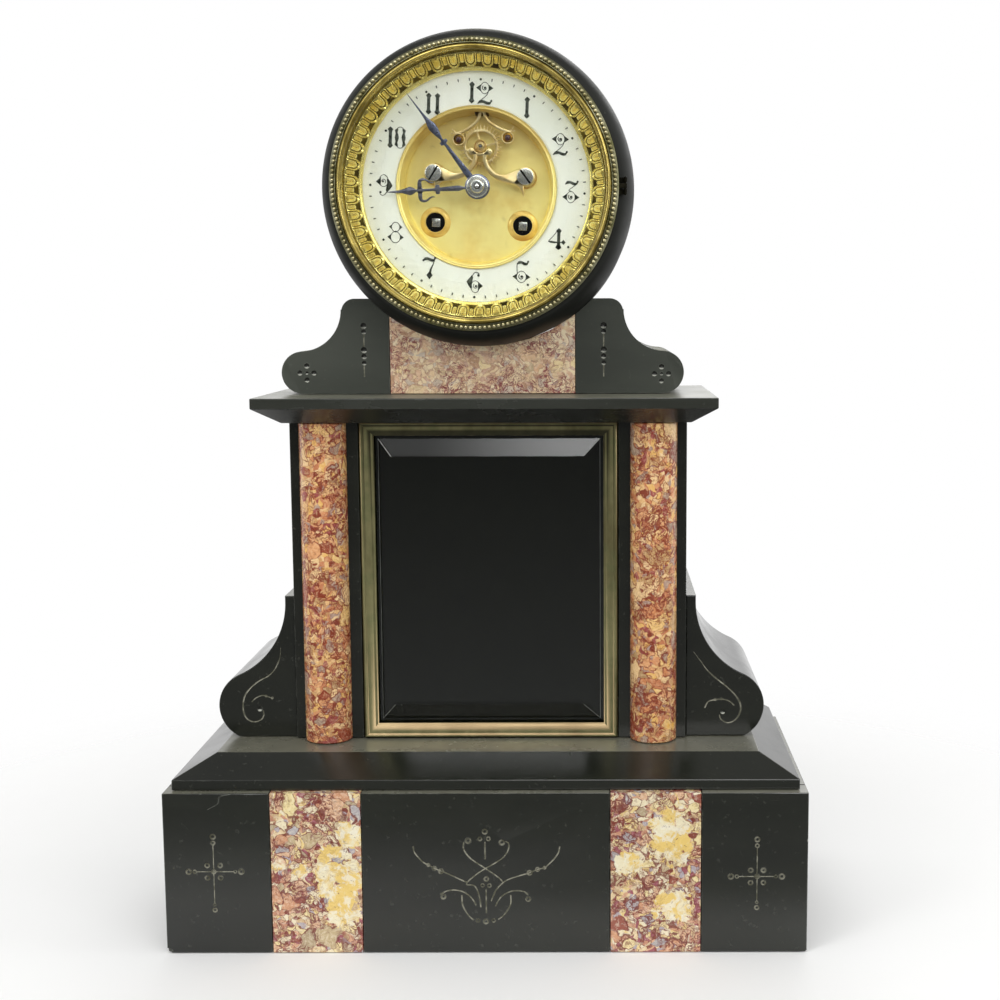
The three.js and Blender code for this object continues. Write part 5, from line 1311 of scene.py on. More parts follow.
def egg_height(across, along):
    """How far the egg-and-dart pattern stands off the slope, across a repeat and along the slope."""
    arch_half, arch_foot, drawn_out = 2.35, 4.6, 0.55
    reach = math.hypot(across, min(along - arch_foot, 0) * drawn_out)
    height = 0.7 * math.exp(-(((reach - arch_half) / 0.3) ** 2))
    if reach < arch_half:
        egg_reach = math.hypot(across, min(along - arch_foot - 0.2, 0) * drawn_out * 1.1)
        egg = 1 - (egg_reach / 1.75) ** 2
        if egg > 0:
            height = max(height, 1.25 * math.sqrt(egg) - 0.1)
    else:
        beside = abs(across) - EGG_PITCH / 2
        tongue = 1 - (beside / 0.95) ** 4 - ((along - 5.9) / 3.1) ** 4
        if tongue > 0:
            height = max(height, 0.3 * tongue ** 0.5)
    return height * min(max((8.55 - along) / 0.25, 0), 1) * min(max((along - 0.1) / 0.3, 0), 1)


def make_sight_ring():
    """The fixed ring inside the bezel: a slope of eggs and darts, on a plain flange."""
    low = Vector((SIGHT["foot"], SIGHT["foot_front"]))
    slope = Vector((SIGHT["crest"], SIGHT["crest_front"])) - low
    length = slope.length
    out = Vector((slope.y, -slope.x)).normalized()
    inner, tube_radius, flange, flange_front = (SIGHT[key] for key in ("inner", "tube", "flange", "flange_front"))
    start = [(inner, SIGHT["back"]), (inner, SIGHT["foot_front"] + 0.3), (inner + 0.3, SIGHT["foot_front"])]
    tail = [(SIGHT["crest"] + 0.3, SIGHT["crest_front"] - 0.05), (tube_radius, SIGHT["crest_front"] + 0.5),
            (tube_radius, flange_front), (flange - 0.2, flange_front), (flange, flange_front + 0.2),
            (flange, SIGHT["flange_back"]), (tube_radius, SIGHT["flange_back"]), (tube_radius, SIGHT["back"])]
    across, steps = EGGS["steps_across"], EGGS["steps_along"]
    count, height = EGGS["count"] * across, len(start) + steps + 1 + len(tail)
    vertices, faces = [], []
    for i in range(count):
        phase = (i % across) / across - 0.5
        column = list(start)
        for step in range(steps + 1):
            lift = egg_height(phase * EGG_PITCH, length * step / steps)
            column.append(tuple(low + slope * (step / steps) + out * lift))
        for radius, depth in column + tail:
            x, z = polar(DIAL, radius, DIAL_START + 2 * math.pi * i / count)
            vertices.append((x, depth, z))
        after = (i + 1) % count
        for step in range(height):
            up = (step + 1) % height
            faces.append((i * height + step, after * height + step, after * height + up, i * height + up))
    ring = mesh_of("egg_and_dart_ring", vertices, faces, EGG_GILT, 50)
    # The faces where the pattern stands low take the dark gilt as painted shade in the hollows.
    ring.data.materials.append(HOLLOW_SHADE_GILT)
    for face in ring.data.polygons:
        column, row = divmod(face.index, height)
        step = row - len(start)
        if 0 <= step < steps:
            phase = ((column + 0.5) % across) / across - 0.5
            if egg_height(phase * EGG_PITCH, length * (step + 0.5) / steps) < 0.1:
                face.material_index = 1
    stands_for(ring, "case", "gilt_brass", "sight_ring")


def make_chapter_ring():
    front, back = CHAPTER["front"], CHAPTER["front"] + CHAPTER["thickness"]
    inner, outer = CHAPTER["inner"], CHAPTER["outer"]
    profile = rounded([(inner, back), (inner, front + 0.35), (inner + 1.5, front + 0.05), (44, front - 0.25),
                       (outer - 1.5, front), (outer, front + 0.35), (outer, back)], 0.5)
    stands_for(turned("enamel_ring", profile, DIAL, ENAMEL, ROUND, 60), "case", "enamel", "chapter_ring")


# Numerals: each is a list of outlines in millimetres about its own middle
THIN = 0.28
NUMERAL = {"circle": 42.9, "front": 29.24, "back": 29.75, "middle": (DIAL[0] + 0.5, DIAL[1] - 0.4)}
MARKS = {"circle": 49.2, "dot": 0.55, "middle": (DIAL[0] + 0.45, DIAL[1] - 0.7)}


def lozenge(x, y, wide, high):
    return [(x - wide / 2, y), (x, y - high / 2), (x + wide / 2, y), (x, y + high / 2)]


def bar(x, bottom, top, width=1.45):
    """A thick upright with a spade-like point at each end."""
    half, flare, tip = width / 2, 1.28, 1.2
    right = [(x, bottom), (x + flare * 0.5, bottom + tip * 0.42), (x + flare, bottom + tip),
             (x + flare * 0.8, bottom + tip * 1.35), (x + half, bottom + tip * 1.75)]
    side = right + [(px, top + bottom - py) for px, py in reversed(right)]
    return side + [(2 * x - px, py) for px, py in reversed(side[1:-1])]


def oval(x, y, wide, high, start, end, steps=40):
    """Part of an ellipse, given by its half sizes."""
    return [(x + wide * math.cos(a), y + high * math.sin(a))
            for a in (start + (end - start) * i / steps for i in range(steps + 1))]


def ring_outlines(x, y, wide, high):
    """A thin oval ring drawn as one outline that runs round and back."""
    full, half = 2 * math.pi - 0.001, THIN / 2
    return oval(x, y, wide + half, high + half, 0, full) + oval(x, y, wide - half, high - half, full, 0)


def curl(x, y, start_radius, width=0.36):
    """A spiral that winds in to a small dot."""
    turns, start_angle, steps = 1.1, 2.2, 30
    points = []
    for i in range(steps + 1):
        t = i / steps
        points.append(polar((x, y), start_radius * (1 - 0.8 * t), start_angle + turns * 2 * math.pi * t))
    return ribbon(points, [width, width * 1.1], 2)


def wedge(x, y, wide, high, point, side, reach=0.84):
    """The dark point beside an oval, hollowed to fit it."""
    hollow = oval(0, 0, wide, high, -reach, reach, 14)
    return [(x + side * px, y + py) for px, py in [(point, 0), *reversed(hollow)]]


def bowl(x, y, wide=1.95, high=2.55, point=3.95):
    """An oval with a curl and a dot in it, and a dark point on each side."""
    return [ring_outlines(x, y, wide, high), curl(x, y, wide * 0.62), circle((x, y), 0.46, 14),
            *(wedge(x, y, wide - 0.15, high - 0.1, point, side, 0.95) for side in (1, -1))]


def leaf_foot(x, y, wide):
    """Two dark leaves in a wave along the foot or the top of a numeral, with a ball at the end."""
    half = wide / 2
    line = [(-1, -0.75), (-0.62, 0.2), (-0.15, 0.3), (0.3, -0.25), (0.7, -0.3), (1, 0.6)]
    wave = ribbon([(x + half * share, y + rise) for share, rise in line], [0.2, 1.35, 1.15, 1.35, 1.15, 0.3], 6)
    return [wave, circle((x + half * 0.96, y + 0.75), 0.48, 14)]


def hairline(points, steps=6):
    return ribbon(points, [THIN, THIN], steps)


def numeral_two(x):
    return [*bowl(x, 2.2), hairline([(x + 1.9, 1.2), (x + 0.9, -1.0), (x - 2.5, -4.0)]),
            *leaf_foot(x + 0.1, -4.15, 6.4)]


def numeral_three():
    return [*bowl(0, -2.2), hairline([(2.7, 3.8), (-0.9, 1.0), (0.4, 0.35)]), *leaf_foot(0.1, 4.15, 5.8)]


def numeral_four():
    cross = ribbon([(-3.9, -1.2), (-2.6, -1.35), (-0.9, -1.5), (1.2, -1.5), (3.4, -1.4)], [0.2, 1.0, 0.8, 0.5, 0.4],
                   6)
    return [bar(0.9, -4.7, 5.0), hairline([(0.9, 4.9), (-1.4, 1.6), (-3.9, -1.2)]), cross,
            lozenge(3.1, -1.4, 2.1, 2.3), lozenge(0.9, -3.9, 2.9, 2.2)]


def numeral_five():
    return [*bowl(0, -2.2, 2.2, 2.6, 4.2), hairline([(-2.1, 4.2), (-2.2, 2.2), (-1.9, -0.8)], 5),
            *leaf_foot(0.4, 4.1, 5.2)]


def numeral_six():
    left = [(-1.34, 3.57), (-2.9, 1.7), (-3.86, 0.34), (-2.8, -1.5), (-1.68, -2.94), (-1.2, -2.4), (-1.35, -1.2),
            (-1.26, 0), (-1.05, 1.2), (-0.84, 2.5)]
    right = [(1.47, 0.63), (3.78, -1.34), (1.47, -3.44), (1.55, -2.4), (1.45, -1.34), (1.6, -0.3)]
    return [ring_outlines(0.25, -1.8, 2.0, 2.7), curl(0.45, -1.6, 1.2, THIN), circle((0.5, -1.6), 0.43, 14),
            left, right, ribbon([(-1.2, 3.3), (-0.4, 4.4), (0.6, 4.8), (1.6, 4.4), (1.9, 3.5)], [0.35, THIN], 6),
            circle((1.6, 3.4), 0.55, 14)]


def numeral_nine():
    """A six turned upside down."""
    return [[(-x, -y) for x, y in outline] for outline in numeral_six()]


def numeral_seven():
    return [ribbon([(2.7, 4.2), (1.9, 1.8), (0.9, -0.7), (0.5, -3)], [THIN, 0.4, 0.9, 1.25], 6),
            lozenge(0.45, -3.1, 3.0, 3.8), *leaf_foot(0.1, 4.1, 5.6), circle((-2.5, 3.6), 0.5, 14)]


def numeral_eight():
    outlines = []
    for y, wide, high, point in ((2.55, 1.9, 2.1, 3.1), (-2.1, 2.2, 2.55, 3.8)):
        outlines.append(ring_outlines(0, y, wide, high))
        outlines += [wedge(0, y, wide - 0.1, high - 0.1, point, side) for side in (1, -1)]
    return outlines + [circle((0, 0.45), 0.42, 12)]


def numeral_nought(x):
    """A narrow nought of two thick sides, each drawn in at two waists."""
    side = [(1.0, 4.5), (2.5, 3.3), (2.1, 1.7), (2.5, 0), (2.1, -1.7), (2.5, -3.3), (1.0, -4.5), (1.0, -3.3),
            (1.25, -2.4), (0.9, -1.2), (0.6, 0), (0.9, 1.2), (1.25, 2.4), (1.0, 3.3)]
    caps = [hairline([(-1.1, 4.35 * up), (0, 4.75 * up), (1.1, 4.35 * up)], 4) for up in (1, -1)]
    return [moved(outline, (x, 0)) for outline in (side, mirrored(side), *caps)]


NUMERAL_ENDS = -4.85, 4.85
NUMERAL_OUTLINES = {
    1: [bar(0, *NUMERAL_ENDS)], 2: numeral_two(0), 3: numeral_three(), 4: numeral_four(), 5: numeral_five(),
    6: numeral_six(), 7: numeral_seven(), 8: numeral_eight(), 9: numeral_nine(),
    10: [bar(-3.4, *NUMERAL_ENDS), *numeral_nought(1.1)], 11: [bar(x, *NUMERAL_ENDS) for x in (-2, 2)],
    12: [bar(-3.9, *NUMERAL_ENDS), *numeral_two(1.9)],
}


def painted(name, outlines):
    """Outlines laid on the enamel as one piece."""
    strokes = [plate("stroke", [outline], NUMERAL["front"], NUMERAL["back"], NUMERALS, 0.02) for outline in outlines]
    stands_for(joined(name, *strokes), "case", "enamel")


def make_numerals():
    for hour, outlines in NUMERAL_OUTLINES.items():
        place = polar(NUMERAL["middle"], NUMERAL["circle"], DIAL_START - hour * math.pi / 6)
        painted(f"numeral_{hour}", [moved(turned_by(outline, -DIAL_TURN), place) for outline in outlines])
    tick = [(-0.17, -0.62), (0.17, -0.62), (0.26, 0.62), (-0.26, 0.62)]
    marks = []
    for minute in range(60):
        angle = DIAL_START - minute * math.pi / 30
        place = polar(MARKS["middle"], MARKS["circle"], angle)
        marks.append(moved(turned_by(tick, angle - math.pi / 2), place) if minute % 5
                     else circle(place, MARKS["dot"], 16))
    painted("minute_marks", marks)


def make_dish():
    floor, sheet, rim, neck = DISH["floor"], DISH["sheet"], DISH["rim_front"], DISH["neck"]
    mouth, floor_radius, outer = DISH["mouth"], DISH["floor_radius"], DISH["rim"]
    flange_front, flange_back = DISH["flange_front"], DISH["flange_front"] + DISH["flange_sheet"]
    profile = [(0, floor), (floor_radius - 0.9, floor), (floor_radius - 0.4, floor + 0.25),
               (floor_radius, floor - 0.2), (mouth, rim + 1.4), (mouth + 0.1, rim + 0.7), (mouth + 0.35, rim + 0.15),
               (mouth + 0.7, rim - 0.02), (mouth + 1.0, rim + 0.05), (mouth + 1.1, rim + 0.3),
               (mouth + 1.25, rim + 0.1), (outer - 0.5, rim), (outer - 0.15, rim + 0.25), (outer, rim + 0.8),
               (outer, rim + 1.25), (neck, rim + 1.25), (neck, flange_front), (DISH["flange"], flange_front),
               (DISH["flange"], flange_back), (neck, flange_back), (floor_radius + sheet, floor + sheet),
               (0, floor + sheet)]
    pan = turned("dish", profile, DIAL, DISH_GILT, ROUND, 40)
    through = (floor - 5, floor + 5, SHADOW)
    cuts = [round_cutter("middle hole", HUB, 3.7, *through),
            round_cutter("pivot hole", works(0, ESCAPE_HEIGHT), 1.4, *through, 24)]
    hole, ring = WINDING["hole"], WINDING["collar"]
    collar = rounded([(hole, floor + 0.9), (hole, floor - 1.2), (hole + 0.6, floor - 1.2), (hole + 0.7, floor - 0.8),
                      (ring - 1.3, floor - 0.7), (ring - 0.4, floor - 0.35), (ring + 0.2, floor + 0.1),
                      (ring + 0.2, floor + 0.9)], 0.2, 3)
    collars = []
    for sign in (-1, 1):
        place = works(sign * WINDING["side"], -WINDING["drop"])
        foot = works(sign * COCK["foot_side"], COCK["foot_height"])
        collars.append(turned("collar", collar, place, COLLAR, 64, 40))
        cuts += [round_cutter("hole", place, hole, *through),
                 round_cutter("sink", place, ring - 0.2, floor - 4, floor + 0.02, DISH_GILT, 64),
                 round_cutter("foot sink", foot, 5.1, floor - 4, floor + 0.6, COLLAR, 64),
                 round_cutter("screw hole", foot, 0.8, *through, 16)]
    half, bottom, top = 3.2, 33.4, 41
    notch = works_outline([(-half, bottom), (half, bottom), (half, top), (-half, top)])
    # The notch's cut walls take the dark gilt as painted shade.
    cuts.append(plate("notch", [notch], flange_back + 0.3, floor + 3, SEAT_GILT, 0.01))
    stands_for(joined("gilt_dish", carved(pan, cuts), *collars), "case", "gilt_brass", "dial_dish")


def works_plate(outline, front, back, finish, edge):
    """A flat piece drawn in the movement's own frame."""
    return plate("plate", [works_outline(outline)], front, back, finish, edge)


def make_cock():
    """Two S-shaped arms from balls beside the escape wheel's hub to their screwed feet."""
    front, back = COCK["front"], COCK["front"] + COCK["thickness"]
    arm = ribbon([(3.7, 16.8), (2.3, 15.4), (2.3, 12.6), (3.6, 9.6), (6.6, 6.6), (10.6, 5), (14.6, 5.1), (18.2, 5.6)],
                 [1.6, 1.7, 1.9, 2.1, 2.2, 2.3, 3.4, 5.2, 7])
    tail = ribbon([(16.5, 4.2), (19, 2.2), (20.2, -0.4), (20.7, -3.0)], [3.2, 2.6, 1.4, 0.1])
    foot = circle((COCK["foot_side"], COCK["foot_height"]), COCK["foot_radius"], 40)
    shapes = [(arm, back, 0.35), (tail, back, 0.35), (circle((4.0, 16.6), 1.65, 24), back, 0.35),
              (foot, DISH["floor"] + 0.6, 0.3)]
    pieces = [works_plate(flipped(shape, sign), front, behind, COCK_GILT, edge)
              for sign in (-1, 1) for shape, behind, edge in shapes]
    pieces.append(works_plate(ribbon([(-4, 16.2), (0, 15.4), (4, 16.2)], [1.3, 1.6, 1.3], 6), front, back,
                              COCK_GILT, 0.3))
    hub = [(0.75, front + 0.3), (0.8, front - 0.6), (1.15, front - 0.85), (1.5, front - 0.65), (1.62, front - 0.2),
           (1.75, front + 0.2), (2.25, front + 0.2), (2.35, front - 0.4), (2.6, front - 0.7), (2.8, front - 0.45),
           (2.85, front), (2.85, back), (0.75, back)]
    pieces.append(turned("hub", hub, works(0, ESCAPE_HEIGHT), COCK_GILT, 48))
    stands_for(joined("escapement_cock", *pieces), "case", "gilt_brass", "escape_cock")
    for side, sign, slot_turn in (("left", -1, 57), ("right", 1, -54)):
        make_screw("cock_screw_" + side, works(sign * COCK["foot_side"], COCK["foot_height"]), slot_turn)


def make_screw(node, place, slot_turn):
    front, radius, shank = SCREW["front"], SCREW["radius"], 1.3
    under, end = front + SCREW["head"], front + SCREW["head"] + 18
    profile = [(0, front), (radius - 0.35, front), (radius - 0.1, front + 0.12), (radius, front + 0.4),
               (radius, under), (shank, under), (shank, end), (0, end)]
    head = turned(node + "_steel", profile, place, STEEL, 64, 30)
    half, reach = SCREW["slot"] / 2, radius + 1
    slot = turned_by([(-reach, -half), (reach, -half), (reach, half), (-reach, half)], math.radians(slot_turn))
    # The slot's walls are painted shade.
    groove = plate("slot", [moved(slot, place)], front - 1, front + SCREW["slot_depth"], SHADE_BLACK_STEEL, 0.01)
    stands_for(carved(head, [groove]), "case", "polished_steel", node)


def escape_outline(centre, tip, count):
    step = 2 * math.pi / count
    root = tip - 2.3
    points = []
    for i in range(count):
        points += [polar(centre, root, (i - 0.26) * step), polar(centre, root + 1.2, (i - 0.12) * step),
                   polar(centre, tip, i * step), polar(centre, root + 0.3, (i + 0.1) * step)]
    return points


def make_escape_wheel():
    """A light crossed wheel with raked teeth, its hub grooved, on an arbor with a leaved pinion."""
    centre, front = works(0, ESCAPE_HEIGHT), 36
    rim_inner, hub, spoke, first = 6.9, 2.4, 0.85, math.radians(14)
    outer_gap, inner_gap = spoke / 2 / rim_inner, spoke / 2 / hub
    windows = []
    for i in range(4):
        start, end = math.pi / 2 * i + first, math.pi / 2 * (i + 1) + first
        windows.append(arc(centre, rim_inner, start + outer_gap, end - outer_gap, 16)
                       + arc(centre, hub, end - inner_gap, start + inner_gap, 6))
    wheel = plate("wheel", [escape_outline(centre, 10.2, 36), *windows], front, front + 1.1, COCK_GILT, 0.12)
    arbor = turned("arbor", [(0, 32.7), (0.55, 32.7), (0.6, 34.4), (1.1, 34.5), (1.1, 35.2), (2.3, 35.4), (2.5, 35.9),
                             (2.5, 37.6), (1.1, 38), (1.1, 86.5), (0, 86.5)], centre, STEEL, 32)
    pinion = plate("pinion", [pinion_outline(centre, 8, 0.3)], 57.2, 59.2, STEEL, 0.05)
    stands_for(joined("escape_wheel_crossed", wheel, arbor, pinion), "escape_wheel", "movement_brass",
               "escape_wheel")


def pinion_outline(centre, leaves, module):
    radius, step = leaves * module / 2, 2 * math.pi / leaves
    points = []
    for i in range(leaves):
        for share, reach in ((-0.16, 0.7), (-0.07, 1), (0.07, 1), (0.16, 0.7)):
            points.append(polar(centre, radius + module * (reach * 1.7 - 1), (i + share) * step))
        points.append(polar(centre, radius - module * 0.9, (i + 0.5) * step))
    return points


def jewel_place(sign):
    return works(*tilted([(sign * JEWEL["side"], -JEWEL["drop"])])[0])


def tilted(outline):
    """An outline drawn about the pallet arbor, tilted with the anchor."""
    return moved(turned_by(outline, ANCHOR_TILT), (0, PALLET_HEIGHT))


def make_pallets():
    """The anchor: two arms that part at the top and pass over the rings of their jewels."""
    front, back = 34.3, 35.5
    arm = ribbon([(0.95, 0.2), (1.0, -3.2), (2.4, -6.2), (5.2, -8.6), (8.6, -10.6), (11.6, -11.5), (14.8, -11.4)],
                 [1.5, 1.4, 1.35, 1.35, 1.35, 1.2, 0.12])
    spur = ribbon([(12, -11.4), (13.6, -10.4), (14.2, -9.3)], [0.8, 0.5, 0.1], 5)
    seat, stone = JEWEL["seat"], JEWEL["radius"]
    ring = rounded([(seat, front - 0.6), (JEWEL["ring"], front - 0.6), (JEWEL["ring"], back), (seat, back)], 0.2, 3)
    bed = [(stone - 0.1, front - 0.15), (seat + 0.1, front + 0.1), (seat + 0.1, back - 0.1), (stone - 0.1, back - 0.1)]
    pieces = []
    for sign in (-1, 1):
        pieces += [works_plate(tilted(flipped(shape, sign)), front, back, COCK_GILT, 0.3) for shape in (arm, spur)]
        pieces.append(turned("ring", ring, jewel_place(sign), COCK_GILT, 40, 40))
        pieces.append(turned("seat", bed, jewel_place(sign), SEAT_GILT, 40, 40))
    axis = works(0, PALLET_HEIGHT)
    pieces.append(turned("arbor", [(0, front - 0.2), (1, front - 0.1), (2.3, front), (2.4, back), (1.1, back + 0.2),
                                   (1.1, 90), (0, 90)], axis, STEEL, 32))
    crutch_front, crutch_back, length = 88.6, 90, 30
    rod = ribbon([(0, 0), (0, -length)], [2.4, 2.0], 2)
    pieces.append(plate("crutch", [moved(rod, axis)], crutch_front, crutch_back, BRASS, 0.2))
    for left, right, behind in ((-3.2, 3.2, crutch_back), (-3.2, -2.0, 97.6), (2.0, 3.2, 97.6)):
        pieces.append(box("crutch foot", axis[0] + left, axis[0] + right, crutch_front, behind, axis[1] - length,
                          axis[1] - length + 2.4, BRASS, 0.2))
    stands_for(joined("pallet_anchor", *pieces), "pallets", "gilt_brass", "pallets")
    face = JEWEL["front"] + 0.5
    profile = [(0, face - 0.1), (stone * 0.6, face + 0.05), (stone * 0.9, face + 0.35), (stone, face + 0.8),
               (stone, JEWEL["back"]), (0, JEWEL["back"])]
    for side, sign in (("left", -1), ("right", 1)):
        stands_for(turned("jewel_" + side, profile, jewel_place(sign), GARNET, 40, 50), "pallets", "garnet",
                   "pallet_jewel_" + side)


# Hands are drawn pointing up from their hub, then turned to the time shown
def minute_blade():
    leaf = smooth_path([(0.62, 27), (1.15, 29), (1.62, 31), (1.9, 33.2), (1.62, 35), (1.05, 36.9), (0.72, 38.6),
                        (0.46, 41.5), (0.34, 45), (0.2, 50), (0.06, 52.5)], 4)
    half = [(1.5, 4.6), (1.48, 7), (1.2, 13), (0.9, 19), (0.66, 23.6), (0.75, 24.0), (1.8, 24.3), (1.85, 25.6),
            (0.8, 25.9), (0.6, 26.4), *leaf]
    return half + mirrored(half)


def hour_blade():
    bulb = smooth_path([(0.62, 4.6), (0.6, 6.6), (0.9, 7.6), (1.22, 8.7), (1.2, 10), (1.05, 13), (0.85, 17)], 4)
    leaf = smooth_path([(0.5, 28), (0.8, 28.7), (1.4, 29.6), (1.9, 31), (1.5, 32.6), (0.95, 34.4), (0.6, 37),
                        (0.4, 39.4), (0.1, 41.5)], 4)
    half = [*bulb, (0.85, 17.4), (2.0, 17.6), (2.15, 18.4), (2.0, 19.3), (0.75, 19.6), (0.6, 20.4), (0.6, 25.2),
            (1.2, 25.6), (1.6, 26.6), (1.1, 27.6), *leaf]
    return half + mirrored(half)


def hour_horns():
    """The two arms of the hour hand's anchor, which curl back towards the hub."""
    line = [(0.5, 26.6), (3.2, 26.6), (4.4, 26.2), (4.9, 25.0), (4.6, 23.6), (3.7, 22.3), (3.2, 21.0), (3.4, 19.8)]
    horn = ribbon(line, [2.1, 1.8, 1.4, 1.1, 0.9, 0.8, 0.6, 0.2])
    return [flipped(horn, sign) for sign in (-1, 1)]


def make_hand(name, node, outlines, clock_angle, front, thickness, boss, finish):
    turn = DIAL_TURN - math.radians(clock_angle)
    pieces = [works_plate(turned_by(outline, turn), front, front + thickness, finish, 0.2) for outline in outlines]
    pieces.append(turned("boss", boss, HUB, finish, 64, 40))
    stands_for(joined(name, *pieces), node, "blued_steel", node)


def make_hands():
    boss = [(1.35, 22.8), (5.2, 22.8), (5.6, 23), (5.7, 23.5), (5.7, 24.1), (5.3, 24.4), (1.35, 24.4)]
    make_hand("minute_hand_blued", "minute_hand", [minute_blade()], 322.8, 23.6, 0.8, boss, BLUED)
    boss = [(3.75, 26.2), (4.9, 26.2), (5.2, 26.4), (5.2, 27), (3.75, 27.1)]
    make_hand("hour_hand_blued", "hour_hand", [hour_blade(), *hour_horns()], 266.9, 26.2, 0.9, boss, GREYED)
    washer = [(1.35, 21.7), (4.4, 21.7), (4.75, 21.75), (5, 22), (5, 22.5), (1.35, 22.5)]
    nut = [(1.35, 21.7), (3.2, 21.7), (3.2, 20.6), (3.0, 20.15), (2.6, 19.9), (1.9, 19.95), (1.35, 19.95)]
    end = [(0, 19.4), (0.5, 19.45), (0.95, 19.7), (1.0, 20), (1.0, 21), (0, 21)]
    pieces = [turned("washer", washer, HUB, STEEL, 64, 40), turned("nut", nut, HUB, STEEL, 64, 40)]
    stands_for(joined("hand_collet", *pieces), "minute_hand", "polished_steel", "hand_nut")
    stands_for(turned("center_arbor_end", end, HUB, STEEL, 32, 50), "center_wheel", "polished_steel")


def make_winding():
    """Each winding square stands in its hole, dark with painted shade, in front of its ratchet, painted black as
    shade.
    """
    half, teeth = WINDING["square"] / 2, 18
    corners = turned_by([(-half, -half), (half, -half), (half, half), (-half, half)], -DIAL_TURN)
    for side, sign in (("going", 1), ("strike", -1)):
        place = works(sign * WINDING["side"], -WINDING["drop"])
        square = plate("square", [moved(corners, place)], WINDING["square_front"], 49.4, STEEL, 0.25)
        saw = [polar(place, reach, 2 * math.pi * i / teeth) for i in range(teeth) for reach in (8, 6.6)]
        # The ratchet is painted black as the shade inside the winding hole.
        ratchet = plate("ratchet", [saw], 46.2, 47.6, SHADE_BLACK_STEEL, 0.1)
        rod = turned("rod", [(0, 46.4), (3, 46.4), (3, 86.3), (2.8, 86.5), (0, 86.5)], place, STEEL, 40)
        stands_for(joined(side + "_winding_arbor", square, ratchet, rod), side + "_arbor", "polished_steel",
                   side + "_arbor")


# Movement behind the dial
def make_movement():
    brass = {"front_plate": "case", "back_plate": "case", "suspension_cock": "case"}
    brass.update((node, node) for node in ("minute_wheel", "third_wheel", "center_wheel", "second_wheel",
                                           "going_barrel", "strike_barrel"))
    brass["hour_wheel"] = "hour_hand"
    steel = {"cannon_pinion": "minute_hand", "hammer": "hammer", "regulator_arbor": "regulator_arbor"}
    for bodies, finish, slot in ((brass, BRASS, "movement_brass"), (steel, STEEL, "polished_steel")):
        for node, body in bodies.items():
            stands_for(softened(node, finish, 0.12), body, slot, node)


def make_pendulum():
    """The rod on its suspension spring, with the bob and the nut below it. Heights are counted down from the top."""
    (x, top), depth = PENDULUM_TOP, 93
    spring_end, rod_start, rod_end, nut_top, nut_foot, bob_middle = 9, 5, 282, 272.3, 277.3, 250
    spring = box("spring", x - 1.5, x + 1.5, depth - 0.4, depth + 0.4, top - spring_end, top + 2, STEEL, 0.1)
    rod = upright_rod("rod", x, depth, 1.6, top - rod_end, top - rod_start, STEEL)
    nut = upright_rod("nut", x, depth, 4, top - nut_foot, top - nut_top, BRASS, 0.6)
    stands_for(joined("pendulum_rod_and_nut", spring, rod, nut), "pendulum", "polished_steel", "pendulum_rod")
    half, radius, steps = 7, 22, 24
    lens = [(0, depth - half)]
    for i in range(1, steps):
        angle = math.pi * i / steps
        along = math.cos(angle)
        lens.append((radius * math.sin(angle), depth - half * math.copysign(abs(along) ** 0.8, along)))
    lens.append((0, depth + half))
    bob = turned("pendulum_bob_lens", lens, (x, top - bob_middle), BRASS, 96, 60)
    stands_for(bob, "pendulum", "movement_brass", "pendulum_bob")


def make_bell():
    radius, rise, wall, rim = 33, 18, 1.8, 104
    place = works(0, -6)
    curve = smooth_path([(1, 0), (0.985, 0.3), (0.92, 0.62), (0.76, 0.86), (0.5, 0.97), (0.2, 1)], 6)
    dome = [(radius * across, rim + rise * up) for across, up in curve]
    hollow = [((radius - wall) * across, rim + rise * up - wall * up) for across, up in curve][::-1]
    hole = [(2, rim + rise), (2, rim + rise - wall)]
    bell = turned("bell_cup", [*dome, *hole, *hollow], place, BELL_BRONZE, 128, 40)
    stands_for(bell, "case", "bell_metal", "bell")


def make_rear():
    back, z = DRUM["back"], DIAL[1]
    ring = rounded([(52, back + 0.3), (64, back + 0.3), (64, back + 1.7), (52, back + 1.7)], 0.3, 3)
    parts = [turned("ring", ring, DIAL, BRASS, ROUND, 40)]
    for sign in (-1, 1):
        left, right = sorted((DIAL[0] + sign * 58, DIAL[0] + sign * 56.4))
        parts.append(box("strap", left, right, SIGHT["back"] + 0.3, back + 1, z - 2.5, z + 2.5, BRASS, 0.2))
        parts.append(turned("strap screw", [(0, back + 2.6), (1.6, back + 2.5), (2.1, back + 2.1), (2.1, back + 1.5),
                                            (0, back + 1.5)], (DIAL[0] + sign * 58, z + 8), STEEL, 32, 40))
    hinge = DIAL[0] + REAR_HINGE["side"]
    parts += fixed_knuckles(REAR_HINGE, (hinge - 1.3, back + 0.3, back + 2.7), BRASS)
    stands_for(joined("rear_bezel_ring", *parts), "case", "movement_brass", "rear_bezel")
    front = back + 2.1
    pan = [(0, front), (54.8, front), (55, front + 0.2), (55, front + 1), (54.8, front + 1.2), (53.4, front + 1.2),
           (52.9, front + 0.9), (52.2, front + 0.9), (51.8, front + 1.2), (0, front + 1.2)]
    knob = [(0, front + 0.8), (1.6, front + 0.8), (1.7, front + 1.6), (2.6, front + 1.9), (3, front + 2.3),
            (2.8, front + 2.7), (2, front + 2.8), (0, front + 2.8)]
    door = [turned("door", pan, DIAL, BRASS, ROUND, 40), turned("knob", knob, (DIAL[0] - 55 * 0.82, z), BRASS, 48, 40),
            *moving_knuckle(REAR_HINGE, (DIAL[0] + 53.7, front, front + 1.2, 2.4), BRASS)]
    stands_for(joined("rear_door_plate", *door), "rear_door", "movement_brass", "rear_door")


# Studio
CAMERA = {"place": (0.0525, -0.7598, 0.3000), "pitch": math.pi / 2 - 0.124, "roll": 0.002, "lens": 55.56,
          "shift": -0.0976}


